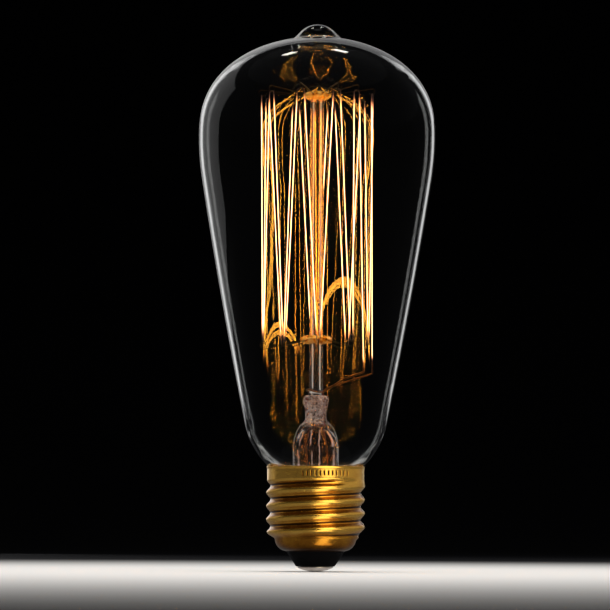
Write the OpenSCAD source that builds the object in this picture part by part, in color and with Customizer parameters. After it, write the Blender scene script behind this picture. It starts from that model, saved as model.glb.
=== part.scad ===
// Filament lamp of the squirrel-cage kind: a teardrop glass envelope with a tip on its crown,
// a zigzag filament hung between two glass buttons on a rod, and a brass screw cap.
// Millimetres. Z = 0 is the lowest point of the centre contact, and +Z runs along the lamp's
// axis to the tip. -Y is the front. An azimuth is measured from the front towards +X.

/* [Glass envelope] */
// Widest outer radius of the glass
envelope_r = 31.95; // [30:0.05:34]
// Height of the widest ring
widest_z = 117.3; // [114:0.1:122]
// Height of the dome's crown above the widest ring
dome_h = 26.7; // [24:0.1:30]
// Power of the dome's curve, where 2 is an ellipse
dome_power = 2.36; // [2:0.02:2.6]
// Wall of the blown glass
glass_wall = 0.9; // [0.7:0.05:1.2]
// Extra glass in the ring where the tip joins the dome
tip_ring_extra = 0.9; // [0:0.1:1.2]
// Height of the tip above the crown of the dome
tip_rise = 3.7; // [3.2:0.1:4.5]
// Radius of the rounded end of the tip
tip_round_r = 6.3; // [5.6:0.1:7]
// Glass over the hollow of the tip
tip_wall = 1.1; // [0.8:0.05:1.3]
// Radius of the hollow where it opens into the dome
tip_hollow_r = 4.8; // [4.2:0.1:5]
// Radius of the curve from the widest ring into the taper
blend_r = 76; // [65:1:90]
// Lean of the side at the top of the taper, in degrees
taper_angle = 8.9; // [8.4:0.1:9.4]
// Radius of the taper's slow curve
taper_r = 1400; // [1200:50:2000]
// Radius of the shoulder above the cap
shoulder_r = 22; // [20:0.5:23]
// Outer radius of the neck inside the cap
neck_r = 11.2; // [10.8:0.05:11.25]
// Radius of the bend from the shoulder into the neck
neck_bend_r = 3; // [2:0.1:4]
// Depth of the middle of that bend below the rim of the cap
neck_bend_depth = 2.68; // [2.5:0.01:2.9]
// Height of the neck's lower edge
neck_bottom_z = 13; // [12.5:0.1:15]

/* [Stem] */
// Height of the flat top of the pinched glass
press_top_z = 47.2; // [46:0.1:49]
// Radius of the lip at the top
press_lip_r = 3.6; // [3.4:0.05:4]
// Radius of the waist under the lip
press_waist_r = 2.85; // [2.75:0.05:3.1]
// Thickness between the two pinched flats
press_thickness = 5; // [4.6:0.1:5.4]
// Height of the pinched glass
press_h = 6.7; // [6.2:0.1:7.5]
// Thickness of the glass between the pinched part and the hollow of the tube
press_floor = 1.6; // [1.2:0.1:2]
// Outer radius of the tube below the pinched glass
flare_r = 6.2; // [5.8:0.1:6.6]
// Wall of the flare tube
flare_wall = 1.1; // [0.8:0.1:1.3]
// Height of the tube's bell-shaped shoulder
flare_bell_h = 8.4; // [7:0.1:9]
// Height of the part that widens to the neck
flare_skirt_h = 12; // [9:0.5:13]
// Thickness of the rim that is fused to the neck
flare_rim_h = 1; // [0.8:0.1:1.2]
// Outer diameter of the exhaust tube
exhaust_d = 3.6; // [3.2:0.1:4]
// Bore of the exhaust tube
exhaust_bore = 1.8; // [1.4:0.1:2.2]
// Height of the sealed lower end of the exhaust tube
exhaust_bottom_z = 10.4; // [10:0.1:12]
// Diameter of the glass rod that carries the buttons
rod_d = 3.6; // [3.2:0.1:3.8]
// Depth of the rod's socket in the pinched glass
rod_socket = 1; // [0.6:0.1:1.5]

/* [Buttons and hooks] */
// Height of the middle of the upper button
upper_button_z = 128.4; // [122:0.1:130]
// Radius of the upper button
upper_button_r = 3.45; // [3.2:0.05:4]
// Thickness of the upper button
upper_button_h = 2.6; // [2.2:0.1:3]
// Height of the middle of the lower button
lower_button_z = 62.2; // [61:0.1:66]
// Radius of the lower button
lower_button_r = 4.2; // [3.6:0.05:4.6]
// Thickness of the lower button
lower_button_h = 2.35; // [2:0.05:2.8]
// Azimuth at which the upper hooks start, in degrees
first_hook_azimuth = 56; // [52:1:60]
// Diameter of the hook wire
hook_wire_d = 0.25; // [0.2:0.01:0.35]
// Radius of the curl at the end of a hook
hook_curl_r = 0.85; // [0.7:0.05:1.1]
// Depth of a hook's root in its button
hook_embed = 1; // [0.6:0.1:1.2]

/* [Filament and leads] */
// Radius of the ring of strands
cage_r = 15.1; // [13:0.1:17]
// Diameter of a strand
filament_d = 0.3; // [0.25:0.01:0.4]
// Height of the filament's upper bends above the middle of the upper button
upper_bend_rise = 0.1; // [-0.5:0.1:1]
// Height of the filament's lower bends below the middle of the lower button
lower_bend_drop = 1; // [0.5:0.1:1.5]
// Radius of the filament's bends over the upper hooks
upper_bend_r = 1; // [0.7:0.05:1.3]
// Radius of the filament's bends under the lower hooks
lower_bend_r = 0.45; // [0.4:0.01:0.6]
// Azimuth of the front lead's end, in degrees
front_end_azimuth = 56; // [52:1:60]
// Height of the filament's end at the front lead
front_end_z = 54.7; // [54:0.1:57]
// Azimuth of the side lead's end, in degrees
side_end_azimuth = 84; // [80:1:90]
// Height of the filament's end at the side lead
side_end_z = 55.9; // [55:0.1:58]
// Diameter of the inner leads and of the wires sealed in the pinched glass
lead_d = 0.45; // [0.35:0.01:0.5]
// Diameter of the leads inside the cap
outer_lead_d = 0.28; // [0.2:0.01:0.3]
// Distance of the sealed wires from the axis
seal_wire_offset = 2.4; // [2.35:0.01:2.45]
// Azimuth of the right sealed wire, in degrees
seal_wire_azimuth = 52; // [48:1:56]
// How far the sealed wires stand out of the glass at each end
seal_wire_proud = 0.6; // [0.4:0.1:0.8]

/* [Screw cap] */
// Height of the rim of the cap
rim_z = 28; // [27.8:0.05:28.2]
// Outer radius of the plain skirt
skirt_r = 13; // [12.95:0.01:13.1]
// Height where the skirt starts, above the thread
skirt_z = 24.9; // [24.5:0.1:25.2]
// How far the rim flares out
rim_flare = 0.2; // [0.1:0.01:0.25]
// Height of the flared rim
rim_flare_h = 0.7; // [0.5:0.1:1]
// Thickness of the brass sheet
sheet = 0.3; // [0.2:0.01:0.32]
// Radius of the thread's crests
crest_r = 13.2; // [13.1:0.01:13.25]
// Radius of the thread's roots
root_r = 12.1; // [12.05:0.01:12.25]
// Pitch of the thread, 7 turns in an inch
pitch = 3.629; // [3.6:0.001:3.65]
// Height of a crest at the +X side
crest_z = 15.59; // [14:0.01:17.5]
// How narrow the crests are, where 1 is a plain wave
crest_power = 1.0; // [1:0.05:1.8]
// Height where the rounded bottom of the shell starts
bottom_bend_z = 8.8; // [8.6:0.1:9.2]
// Radius of the rounded bottom
bottom_bend_r = 3.4; // [3.2:0.05:3.5]
// Radius of the shell where the rounded bottom starts
bottom_r = 10.9; // [10.7:0.05:11.1]
// Depth of the nick in the rim that the side lead passes through
nick_h = 0.9; // [0.8:0.05:1]
// Height of the cement ring
cement_h = 7; // [4:0.5:9]

/* [Insulator and contact] */
// Radius of the black glass where it leaves the shell
insulator_r = 7.8; // [7.6:0.05:7.95]
// Height of the black glass inside the shell
insulator_top_z = 7.6; // [7.2:0.1:8]
// Radius of the centre contact
contact_r = 4.8; // [4.5:0.1:5.2]
// Thickness of the centre contact
contact_h = 1.3; // [1.1:0.05:1.5]
// Depth of the contact's domed face
contact_dome_h = 1; // [0.7:0.05:1.05]
// Outer radius of the contact's tube inside the black glass
contact_tube_r = 1.3; // [1.1:0.1:1.6]
// Height of the top of the contact's tube
contact_tube_z = 3.5; // [3:0.1:4.5]
// Radius of the flat land at the lowest point
land_r = 1.6; // [1.4:0.1:2]
// Radius of the solder in the contact's face
solder_r = 2.5; // [2.2:0.1:3]
// Depth of that solder
solder_h = 0.55; // [0.4:0.05:0.7]
// Radius of the plug of solder in the nick of the rim
plug_r = 0.4; // [0.35:0.01:0.42]
// Radius of the bead of solder on the outside of the rim
bead_r = 0.6; // [0.5:0.05:0.7]
// How far the bead stands out from the skirt
bead_proud = 0.25; // [0.1:0.01:0.27]

/* [Clearances] */
// Gap between pieces that are moulded or laid against each other
seat_gap = 0.05; // [0.04:0.01:0.08]
// Gap between the filament and the hook wire that it hangs on
hook_gap = 0.02; // [0.01:0.01:0.05]
// Gap between a lead and the glass that it passes
lead_gap = 0.4; // [0.3:0.05:0.5]

/* [Hidden] */
$fn = 72;
upper_hooks = 10;
lower_hooks = upper_hooks - 1;
hook_step = 360 / upper_hooks;

glass = [0.85, 0.87, 0.88, 0.35];
clear_glass = [0.8, 0.78, 0.76, 0.6];
brass = [0.69, 0.54, 0.23];
nickel = [0.55, 0.53, 0.5];
solder_grey = [0.72, 0.71, 0.68];

// How far each hook was bent aside when the filament was hung, in degrees
hook_lean = [-12, 0, -1, -2, -2, 8, 3, 1, -3, -14];
lower_lean = [0, 0, 0, 0, 0, 0, 1.5, 0, 0];

function smooth(low, high, z) =
    let (t = min(1, max(0, (z - low) / (high - low)))) t * t * (3 - 2 * t);
function mix(a, b, t) = a + (b - a) * t;
function unit(v) = v / norm(v);
function turn_back(list) = [for (i = [len(list) - 1:-1:0]) list[i]];

// A point at an azimuth and a radius, with sideways the distance along the ring's tangent
function ring_point(azimuth, radius, z, sideways = 0) = [
    radius * sin(azimuth) + sideways * cos(azimuth),
    -radius * cos(azimuth) + sideways * sin(azimuth),
    z];
module at_azimuth(azimuth) rotate([0, 0, azimuth - 90]) children();

// Points of a circle, without the first one, so that arcs can follow each other
function on_arc(centre, radius, angle) = centre + radius * [cos(angle), sin(angle)];
function arc(centre, radius, from, to, steps) =
    [for (k = [1:steps]) on_arc(centre, radius, mix(from, to, k / steps))];

// A smooth curve through points, with steps pieces between each two (Catmull-Rom)
function smooth_path(p, steps = 3) = concat(
    [for (i = [0:len(p) - 2], k = [0:steps - 1])
        let (a = p[max(i - 1, 0)], b = p[i], c = p[i + 1], d = p[min(i + 2, len(p) - 1)], t = k / steps)
        b + ((c - a) * t + (2 * a - 5 * b + 4 * c - d) * t * t
            + (3 * b - a - 3 * c + d) * t * t * t) / 2],
    [p[len(p) - 1]]);

// A round wire swept along points, each ring turned from the last one as little as possible
module wire(points, d, sides = 8) {
    last = len(points) - 1;
    heading = [for (i = [0:last]) unit(points[min(i + 1, last)] - points[max(i - 1, 0)])];
    start = unit(cross(heading[0], [0, 1, 0]));
    side = [for (i = 0, u = start; i <= last;
        i = i + 1, u = i > last ? u : unit(u - heading[i] * (u * heading[i]))) u];
    rings = [for (i = [0:last], k = [0:sides - 1])
        let (u = side[i], v = cross(heading[i], u), a = 360 * k / sides)
        points[i] + d / 2 * (u * cos(a) + v * sin(a))];
    walls = [for (i = [0:last - 1], k = [0:sides - 1])
        let (n = (k + 1) % sides, a = i * sides, b = a + sides)
        each [[a + k, b + k, b + n], [a + k, b + n, a + n]]];
    ends = [[for (k = [0:sides - 1]) k], [for (k = [sides - 1:-1:0]) last * sides + k]];
    polyhedron(rings, concat(walls, ends));
}

// Envelope: arcs from the widest ring down to the neck, each tangent to the last. The neck's bend is
// set by the rim, and the shoulder's circle touches both the taper's and the bend's (cosine rule).
blend_centre = [envelope_r - blend_r, widest_z];
taper_centre = on_arc(blend_centre, blend_r - taper_r, -taper_angle);
neck_centre = [neck_r + neck_bend_r, rim_z - neck_bend_depth];
to_neck = neck_centre - taper_centre;
to_shoulder = taper_r - shoulder_r;
shoulder_to_neck = shoulder_r + neck_bend_r;
shoulder_angle = -atan2(to_neck.y, to_neck.x)
    - acos((pow(to_shoulder, 2) + to_neck * to_neck - pow(shoulder_to_neck, 2))
        / (2 * to_shoulder * norm(to_neck)));
shoulder_centre = on_arc(taper_centre, to_shoulder, -shoulder_angle);
neck_angle = acos((neck_centre.x - shoulder_centre.x) / shoulder_to_neck);

// The side below the widest ring, moved inwards by depth
function side_line(depth) = concat(
    arc(blend_centre, blend_r - depth, 0, -taper_angle, 3),
    arc(taper_centre, taper_r - depth, -taper_angle, -shoulder_angle, 5),
    arc(shoulder_centre, shoulder_r - depth, -shoulder_angle, -neck_angle, 9),
    arc(neck_centre, neck_bend_r + depth, 180 - neck_angle, 180, 4),
    [[neck_r - depth, neck_bottom_z]]);

// Dome: (r / envelope_r)^2 + (h / dome_h)^dome_power = 1, followed by an angle that is 90 degrees
// at the widest ring
crown_z = widest_z + dome_h;
tip_z = crown_z + tip_rise;
function dome_at(angle) = [
    envelope_r * sin(angle),
    widest_z + dome_h * pow(cos(angle), 2 / dome_power)];
function dome_normal(angle) = unit([
    2 * sin(angle) / envelope_r,
    dome_power * pow(cos(angle), 2 - 2 / dome_power) / dome_h]);
function dome_height(r) = dome_at(asin(r / envelope_r)).y;

// Tip: a cone of 45 degrees under a ball
tip_ball_z = tip_z - tip_round_r;
tip_cone_sum = tip_ball_z + tip_round_r * sqrt(2);
tip_foot_r = tip_cone_sum - dome_height(tip_cone_sum - crown_z);
tip_foot_angle = asin(tip_foot_r / envelope_r);
dome_steps = 14;
dome_outer = [for (k = [0:dome_steps]) dome_at(mix(tip_foot_angle, 90, k / dome_steps))];

// Inner face of the dome: the outer one moved in by the wall, which is thicker round the tip
ring_r = tip_foot_r * 1.1;
ring_spread = 2.4;
function dome_wall(r) = glass_wall + tip_ring_extra * exp(-pow((r - ring_r) / ring_spread, 2));
dome_inner = [for (k = [0:dome_steps])
    let (angle = mix(asin(ring_r / envelope_r), 90, k / dome_steps), p = dome_at(angle))
    p - dome_normal(angle) * dome_wall(p.x)];
hollow_foot = [tip_hollow_r, dome_height(tip_hollow_r)];
ring_inner = [for (k = [0:4])
    let (t = 90 * k / 5)
    [dome_inner[0].x - (dome_inner[0].x - hollow_foot.x) * cos(t),
     hollow_foot.y - (hollow_foot.y - dome_inner[0].y) * sin(t)]];

module glass_envelope()
    color(glass) rotate_extrude()
        polygon(concat(
            [[0, tip_z]],
            arc([0, tip_ball_z], tip_round_r, 90, 45, 5),
            dome_outer,
            side_line(0),
            turn_back(side_line(glass_wall)),
            turn_back(dome_inner),
            turn_back(ring_inner),
            [[0, tip_z - tip_wall]]));

// Stem: the flare tube's top is pinched flat round the sealed wires, and its rim is fused to the neck
press_bottom_z = press_top_z - press_h;
waist_z = press_top_z - 0.7 * press_h;
lip_z = press_top_z - 0.15 * press_h;
bell_z = press_bottom_z - flare_bell_h * sqrt(1 - pow(press_waist_r / flare_r, 2));
hollow_top_z = press_bottom_z - press_floor;
hollow_flat_r = exhaust_d / 2 + seat_gap;
hollow_r = flare_r - flare_wall;
hollow_h = (hollow_top_z - bell_z) / sqrt(1 - pow(hollow_flat_r / hollow_r, 2));
flare_foot_r = neck_r - glass_wall - 6 * seat_gap;
flare_skirt_z = neck_bottom_z + flare_skirt_h;
flare_rim_z = neck_bottom_z - flare_rim_h;

// The widening of the tube, from r at the top of the skirt to foot at its lower edge
function skirt_line(r, foot) = [for (k = [0:6])
    let (t = k / 6) [mix(r, foot, 1 - cos(90 * t)), mix(flare_skirt_z, neck_bottom_z, t)]];
function bell_line(r, h, top_r) =
    let (top = acos(top_r / r)) [for (k = [0:7]) [r * cos(mix(top, 0, k / 7)), bell_z + h * sin(mix(top, 0, k / 7))]];

module seal_wire_shape(azimuth)
    translate(ring_point(azimuth, seal_wire_offset, hollow_top_z - seal_wire_proud))
        cylinder(d = lead_d, h = press_top_z - hollow_top_z + 2 * seal_wire_proud);

module stem_flare() {
    lip_edge = 0.5;
    outer = concat(
        [[0, press_top_z], [press_lip_r - lip_edge, press_top_z]],
        [for (k = [0:4]) [
            mix(press_lip_r, press_waist_r, (1 - cos(45 * k)) / 2),
            mix(lip_z, waist_z, k / 4)]],
        bell_line(flare_r, flare_bell_h, press_waist_r),
        skirt_line(flare_r, flare_foot_r),
        [[neck_r, neck_bottom_z], [neck_r, flare_rim_z]]);
    inner = concat(
        [[0, hollow_top_z]],
        bell_line(hollow_r, hollow_h, hollow_flat_r),
        skirt_line(hollow_r, flare_foot_r - flare_wall),
        [[flare_foot_r - flare_wall, flare_rim_z]]);
    pinch = press_lip_r * 2;
    color(clear_glass) difference() {
        rotate_extrude() polygon(concat(outer, turn_back(inner)));
        for (s = [0, 180]) at_azimuth(seal_wire_azimuth + 90 + s)
            translate([press_thickness / 2, -pinch, press_bottom_z + 0.1 * press_h])
                cube([pinch, 2 * pinch, press_h]);
        for (s = [0, 180]) seal_wire_shape(seal_wire_azimuth + s);
        translate([0, 0, press_top_z - rod_socket]) cylinder(d = rod_d, h = 2 * rod_socket);
    }
}

module exhaust_tube() {
    r = exhaust_d / 2;
    bore = exhaust_bore / 2;
    seal_z = exhaust_bottom_z + r;
    color(clear_glass) rotate_extrude() polygon(concat(
        [[0, exhaust_bottom_z]],
        arc([0, seal_z], r, -90, 0, 6),
        [[r, hollow_top_z], [bore, hollow_top_z], [bore, seal_z + bore], [0, seal_z]]));
}

rod_bottom_z = press_top_z - rod_socket;
rod_top_z = upper_button_z - upper_button_h / 2;
module support_rod()
    color(clear_glass) translate([0, 0, rod_bottom_z]) cylinder(d = rod_d, h = rod_top_z - rod_bottom_z);

// Hooks: a straight shank from the button to a curl in the plane of the lamp's axis. The filament
// hangs on the side of the curl that is nearer to its bend. side is 1 above and -1 below.
filament_top_z = upper_button_z + upper_bend_rise;
filament_bottom_z = lower_button_z - lower_bend_drop;
hook_seat = (filament_d + hook_wire_d) / 2 + hook_gap;
curl_open = 60;

function curl_rise(bend_rise) = bend_rise - hook_seat + hook_curl_r;
function shank_angle(root_r, rise) =
    let (run = cage_r - root_r) atan(rise / run) + asin(hook_curl_r / norm([run, rise]));
module flip(side) if (side > 0) children(); else mirror([0, 0, 1]) children();

// The straight part alone, as a round bore for a button
module hook_bore(root_r, z, bend_rise, side) {
    rise = curl_rise(bend_rise);
    translate([0, 0, z]) flip(side) translate([root_r, 0, 0])
        rotate([0, 90 - shank_angle(root_r, rise), 0]) cylinder(d = hook_wire_d, h = cage_r - root_r);
}

module hook(root_r, z, bend_rise, side) {
    rise = curl_rise(bend_rise);
    curl = [cage_r, rise];
    top = 90 + shank_angle(root_r, rise);
    outline = concat(
        [[root_r, 0], on_arc(curl, hook_curl_r, top)],
        arc(curl, hook_curl_r, top, -90 - curl_open, 10));
    wire([for (p = outline) [p.x, 0, z + side * p.y]], hook_wire_d);
}

upper_root_r = upper_button_r - hook_embed;
lower_root_r = lower_button_r - hook_embed;
function upper_azimuth(i) = first_hook_azimuth - hook_step * (i - 1) + hook_lean[i - 1];
function lower_azimuth(i) = first_hook_azimuth - hook_step * (i - 0.5) + lower_lean[i - 1];

module upper_hook(i)
    color(nickel) at_azimuth(upper_azimuth(i)) hook(upper_root_r, upper_button_z, upper_bend_rise, 1);
module lower_hook(i)
    color(nickel) at_azimuth(lower_azimuth(i)) hook(lower_root_r, lower_button_z, lower_bend_drop, -1);

// The rounded side of a button from low to high degrees, where squareness 1 is an ellipse
function button_line(r, h, low, squareness, steps = 8) = [for (k = [0:steps])
    let (t = mix(low, -low, k / steps)) [r * pow(cos(t), squareness), h / 2 * sin(t)]];

module upper_button() {
    seat_r = rod_d / 2 + 0.3;
    color(clear_glass) difference() {
        translate([0, 0, upper_button_z]) rotate_extrude() polygon(concat(
            [[0, -upper_button_h / 2], [seat_r, -upper_button_h / 2]],
            button_line(upper_button_r, upper_button_h, -45, 0.5),
            [[upper_button_r * 0.5, upper_button_h * 0.46], [0, upper_button_h / 2]]));
        for (i = [1:upper_hooks]) at_azimuth(upper_azimuth(i))
            hook_bore(upper_root_r, upper_button_z, upper_bend_rise, 1);
    }
}

module lower_button()
    color(clear_glass) difference() {
        translate([0, 0, lower_button_z]) rotate_extrude() polygon(concat(
            [[rod_d / 2, lower_button_h / 2], [rod_d / 2, -lower_button_h / 2]],
            button_line(lower_button_r, lower_button_h, -70, 0.35)));
        for (i = [1:lower_hooks]) at_azimuth(lower_azimuth(i))
            hook_bore(lower_root_r, lower_button_z, lower_bend_drop, -1);
    }

// Filament: one unbroken strand, from the front lead over every upper hook and under every lower
// one to the side lead
function upper_bend(azimuth) = [for (k = [0:6])
    ring_point(azimuth, cage_r, filament_top_z - upper_bend_r * (1 - sin(30 * k)), upper_bend_r * cos(30 * k))];
function lower_bend(azimuth) = [for (k = [0:4])
    ring_point(azimuth, cage_r, filament_bottom_z + lower_bend_r * (1 - sin(45 * k)), lower_bend_r * cos(45 * k))];
filament_path = concat(
    [ring_point(front_end_azimuth, cage_r, front_end_z)],
    [for (i = [1:upper_hooks]) each concat(upper_bend(upper_azimuth(i)),
        i < upper_hooks ? lower_bend(lower_azimuth(i)) : [])],
    [ring_point(side_end_azimuth, cage_r, side_end_z)]);

// Least gap between two stretches of the strand that are further apart along it than along a bend
function least_gap(p, d) =
    let (far = 1.2 * PI * lower_bend_r / 2,
        steps = [for (i = [1:len(p) - 1]) norm(p[i] - p[i - 1])],
        along = [for (i = 0, s = 0; i < len(p); s = s + (i < len(steps) ? steps[i] : 0), i = i + 1) s])
    min([for (i = [0:len(p) - 2], j = [i + 1:len(p) - 1])
        if (along[j] - along[i] > far) norm(p[j] - p[i])]) - d;

module filament() {
    echo(least_gap_of_filament = least_gap(filament_path, filament_d));
    color("orange") wire(filament_path, filament_d, 6);
}

// Leads: the left one passes round the front of the rod, and both run to the right
seal_top_z = press_top_z + seal_wire_proud;
seal_bottom_z = hollow_top_z - seal_wire_proud;
wrap_r = rod_d / 2 + lead_d / 2 + lead_gap;
left_azimuth = seal_wire_azimuth - 180;
crimp_h = 1.6;

inner_left_path = [
    ring_point(left_azimuth, seal_wire_offset, seal_top_z),
    ring_point(left_azimuth, seal_wire_offset, seal_top_z + 0.3),
    ring_point(left_azimuth + 30, wrap_r, seal_top_z + 0.8),
    ring_point(left_azimuth + 80, wrap_r + 0.1, seal_top_z + 0.9),
    ring_point(left_azimuth + 128, wrap_r + 0.3, seal_top_z + 0.3),
    ring_point(left_azimuth + 165, wrap_r + 0.8, seal_top_z + 0.3),
    ring_point(left_azimuth + 177, wrap_r + 2.4, seal_top_z + 1.3),
    ring_point(front_end_azimuth, 0.6 * cage_r, mix(seal_top_z, front_end_z, 0.52)),
    ring_point(front_end_azimuth, cage_r - 0.3, front_end_z - crimp_h),
    ring_point(front_end_azimuth, cage_r, front_end_z - crimp_h + 0.5),
    ring_point(front_end_azimuth, cage_r, front_end_z - seat_gap)];
inner_right_path = [
    ring_point(seal_wire_azimuth, seal_wire_offset, seal_top_z),
    ring_point(seal_wire_azimuth, seal_wire_offset, seal_top_z + 0.3),
    ring_point(seal_wire_azimuth + 13, seal_wire_offset + 1.6, seal_top_z + 1.6),
    ring_point(side_end_azimuth, 0.6 * cage_r, mix(seal_top_z, side_end_z, 0.42)),
    ring_point(side_end_azimuth, cage_r - 0.4, side_end_z - 2 * crimp_h + 0.2),
    ring_point(side_end_azimuth, cage_r, side_end_z - 2 * crimp_h + 1),
    ring_point(side_end_azimuth, cage_r, side_end_z - seat_gap)];

// Inside the cap one lead goes down to the centre contact, and the other goes round the neck's
// fused edge and up to the nick in the rim
back = 180;
side_lead_r = (neck_r + root_r - sheet) / 2;
nick_floor_z = rim_z - nick_h;
plug_z = nick_floor_z + plug_r;
plug_inner_y = skirt_r - sheet - 0.2;
outer_centre_path = [
    ring_point(left_azimuth, seal_wire_offset, seal_bottom_z),
    ring_point(left_azimuth, seal_wire_offset, seal_bottom_z - 0.6),
    ring_point(left_azimuth, 3.4, seal_bottom_z - 5),
    ring_point(left_azimuth, 3.4, mix(exhaust_bottom_z, seal_bottom_z, 0.5)),
    ring_point(left_azimuth, 3.3, exhaust_bottom_z + 4),
    ring_point(left_azimuth, 2.3, exhaust_bottom_z + 0.2),
    ring_point(left_azimuth, 0.6, exhaust_bottom_z - 1.7),
    [0, 0, insulator_top_z - 0.4],
    [0, 0, contact_tube_z],
    [0, 0, solder_h]];
outer_side_path = [
    ring_point(seal_wire_azimuth, seal_wire_offset, seal_bottom_z),
    ring_point(seal_wire_azimuth, seal_wire_offset, seal_bottom_z - 0.6),
    ring_point(seal_wire_azimuth + 5, 3.4, seal_bottom_z - 5),
    ring_point(seal_wire_azimuth + 25, 3.4, mix(exhaust_bottom_z, seal_bottom_z, 0.45)),
    ring_point(seal_wire_azimuth + 70, 3.9, flare_rim_z + 5),
    ring_point(back - 22, 6.6, flare_rim_z + 0.2),
    ring_point(back, neck_r - 1.2, flare_rim_z - 1.3),
    ring_point(back, side_lead_r - 0.1, flare_rim_z - 1),
    ring_point(back, side_lead_r, flare_rim_z + 0.6),
    ring_point(back, side_lead_r, mix(flare_rim_z, neck_centre.y, 0.5)),
    ring_point(back, side_lead_r, neck_centre.y - 1),
    ring_point(back, side_lead_r + 0.45, neck_centre.y + 0.8),
    ring_point(back, plug_inner_y - 0.2, plug_z - 0.05),
    ring_point(back, plug_inner_y, plug_z)];

module inner_lead_left() color(nickel) wire(smooth_path(inner_left_path), lead_d);
module inner_lead_right() color(nickel) wire(smooth_path(inner_right_path), lead_d);
module seal_wire_left() color("firebrick") seal_wire_shape(left_azimuth);
module seal_wire_right() color("firebrick") seal_wire_shape(seal_wire_azimuth);
module outer_lead_centre() color("peru") wire(smooth_path(outer_centre_path), outer_lead_d, 6);
module outer_lead_side() color("peru") wire(smooth_path(outer_side_path), outer_lead_d, 6);

// Cap shell: rolled from sheet, so the thread shows inside too. The skirt and rim are a true
// turned shape, and the threaded barrel is a grid of rows, from the rounded bottom up to the skirt.
bottom_centre_r = bottom_r - bottom_bend_r;
lip_r = insulator_r + 2 * seat_gap;
lip_angle = acos((lip_r - bottom_centre_r) / bottom_bend_r);
shell_bottom_z = bottom_bend_z - bottom_bend_r * sin(lip_angle);
barrel_sides = 48;
barrel_rows = 32;
joint_inset = 0.04;
joint_lap = 0.2;

function barrel_base(z) = z < bottom_bend_z
    ? bottom_centre_r + sqrt(pow(bottom_bend_r, 2) - pow(bottom_bend_z - z, 2))
    : mix(bottom_r, root_r, smooth(bottom_bend_z, bottom_bend_z + 2, z));
function thread_wave(turn, z) =
    smooth(bottom_bend_z - 0.6, bottom_bend_z + 0.6, z) * (crest_r - root_r)
        * pow((1 + cos(360 * (z - crest_z) / pitch - turn)) / 2, crest_power);
function barrel_r(turn, z) = mix(
    barrel_base(z) + thread_wave(turn, z),
    skirt_r - joint_inset,
    smooth(skirt_z - 1.6, skirt_z, z));

module barrel() {
    rounded = [for (k = [0:5]) let (a = lip_angle * (1 - k / 6)) [bottom_bend_z - bottom_bend_r * sin(a), a]];
    straight = [for (k = [0:barrel_rows]) [mix(bottom_bend_z, skirt_z, k / barrel_rows), 0]];
    rows = concat(rounded, straight, [[skirt_z + joint_lap, 0]]);
    outer = [for (row = rows, k = [0:barrel_sides - 1])
        let (turn = 360 * k / barrel_sides, r = barrel_r(turn, row[0])) [r * cos(turn), r * sin(turn), row[0]]];
    inner = [for (row = rows, k = [0:barrel_sides - 1])
        let (turn = 360 * k / barrel_sides,
            wall = row[0] < skirt_z ? sheet : sheet - 2 * joint_inset,
            r = barrel_r(turn, row[0]) - wall * cos(row[1]))
        [r * cos(turn), r * sin(turn), row[0] + wall * sin(row[1])]];
    in = len(outer);
    top = (len(rows) - 1) * barrel_sides;
    quads = [for (i = [0:len(rows) - 2], k = [0:barrel_sides - 1])
        let (n = (k + 1) % barrel_sides, a = i * barrel_sides, b = a + barrel_sides)
        [a + k, b + k, b + n, a + n]];
    rims = [for (k = [0:barrel_sides - 1])
        let (n = (k + 1) % barrel_sides)
        each [[k, n, in + n], [k, in + n, in + k],
            [top + k, top + in + n, top + n], [top + k, top + in + k, top + in + n]]];
    polyhedron(concat(outer, inner), concat(rims, [for (q = quads) each [
        [q[0], q[1], q[2]], [q[0], q[2], q[3]],
        [in + q[0], in + q[2], in + q[1]], [in + q[0], in + q[3], in + q[2]]]]));
}

skirt_outer = [[skirt_r, skirt_z], [skirt_r, rim_z - rim_flare_h], [skirt_r + rim_flare, rim_z]];
module skirt()
    difference() {
        rotate_extrude() polygon(concat(
            skirt_outer,
            [for (p = turn_back(skirt_outer)) p - [sheet, 0]]));
        translate([-plug_r - seat_gap, 0, nick_floor_z])
            cube([2 * (plug_r + seat_gap), 2 * skirt_r, 2 * nick_h]);
    }

module cap_shell()
    color(brass) {
        skirt();
        barrel();
    }

module rim_solder()
    color(solder_grey) {
        translate([0, plug_inner_y, plug_z]) rotate([-90, 0, 0])
            cylinder(r = plug_r, h = skirt_r + bead_proud / 2 - plug_inner_y);
        difference() {
            translate([0, skirt_r + bead_proud - bead_r, plug_z]) sphere(r = bead_r);
            rotate_extrude() polygon(concat([[0, skirt_z]], skirt_outer, [[0, rim_z]]));
            translate([-bead_r, 0, rim_z]) cube([2 * bead_r, 2 * skirt_r, bead_r]);
        }
    }

cement_top_z = neck_centre.y;
module capping_cement() {
    inner_r = neck_r + seat_gap;
    thread_r = root_r - sheet - 2 * seat_gap;
    upper_r = skirt_r - sheet - seat_gap;
    slot = outer_lead_d + 4 * seat_gap;
    color("gainsboro") difference() {
        rotate_extrude() polygon([
            [inner_r, cement_top_z - cement_h], [thread_r, cement_top_z - cement_h],
            [thread_r, skirt_z - 0.7], [upper_r, skirt_z + joint_lap], [upper_r, cement_top_z],
            [inner_r, cement_top_z]]);
        translate([-slot / 2, inner_r - 1, cement_top_z - cement_h - 1])
            cube([slot, side_lead_r - inner_r + 2, cement_h + 2]);
    }
}

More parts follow.
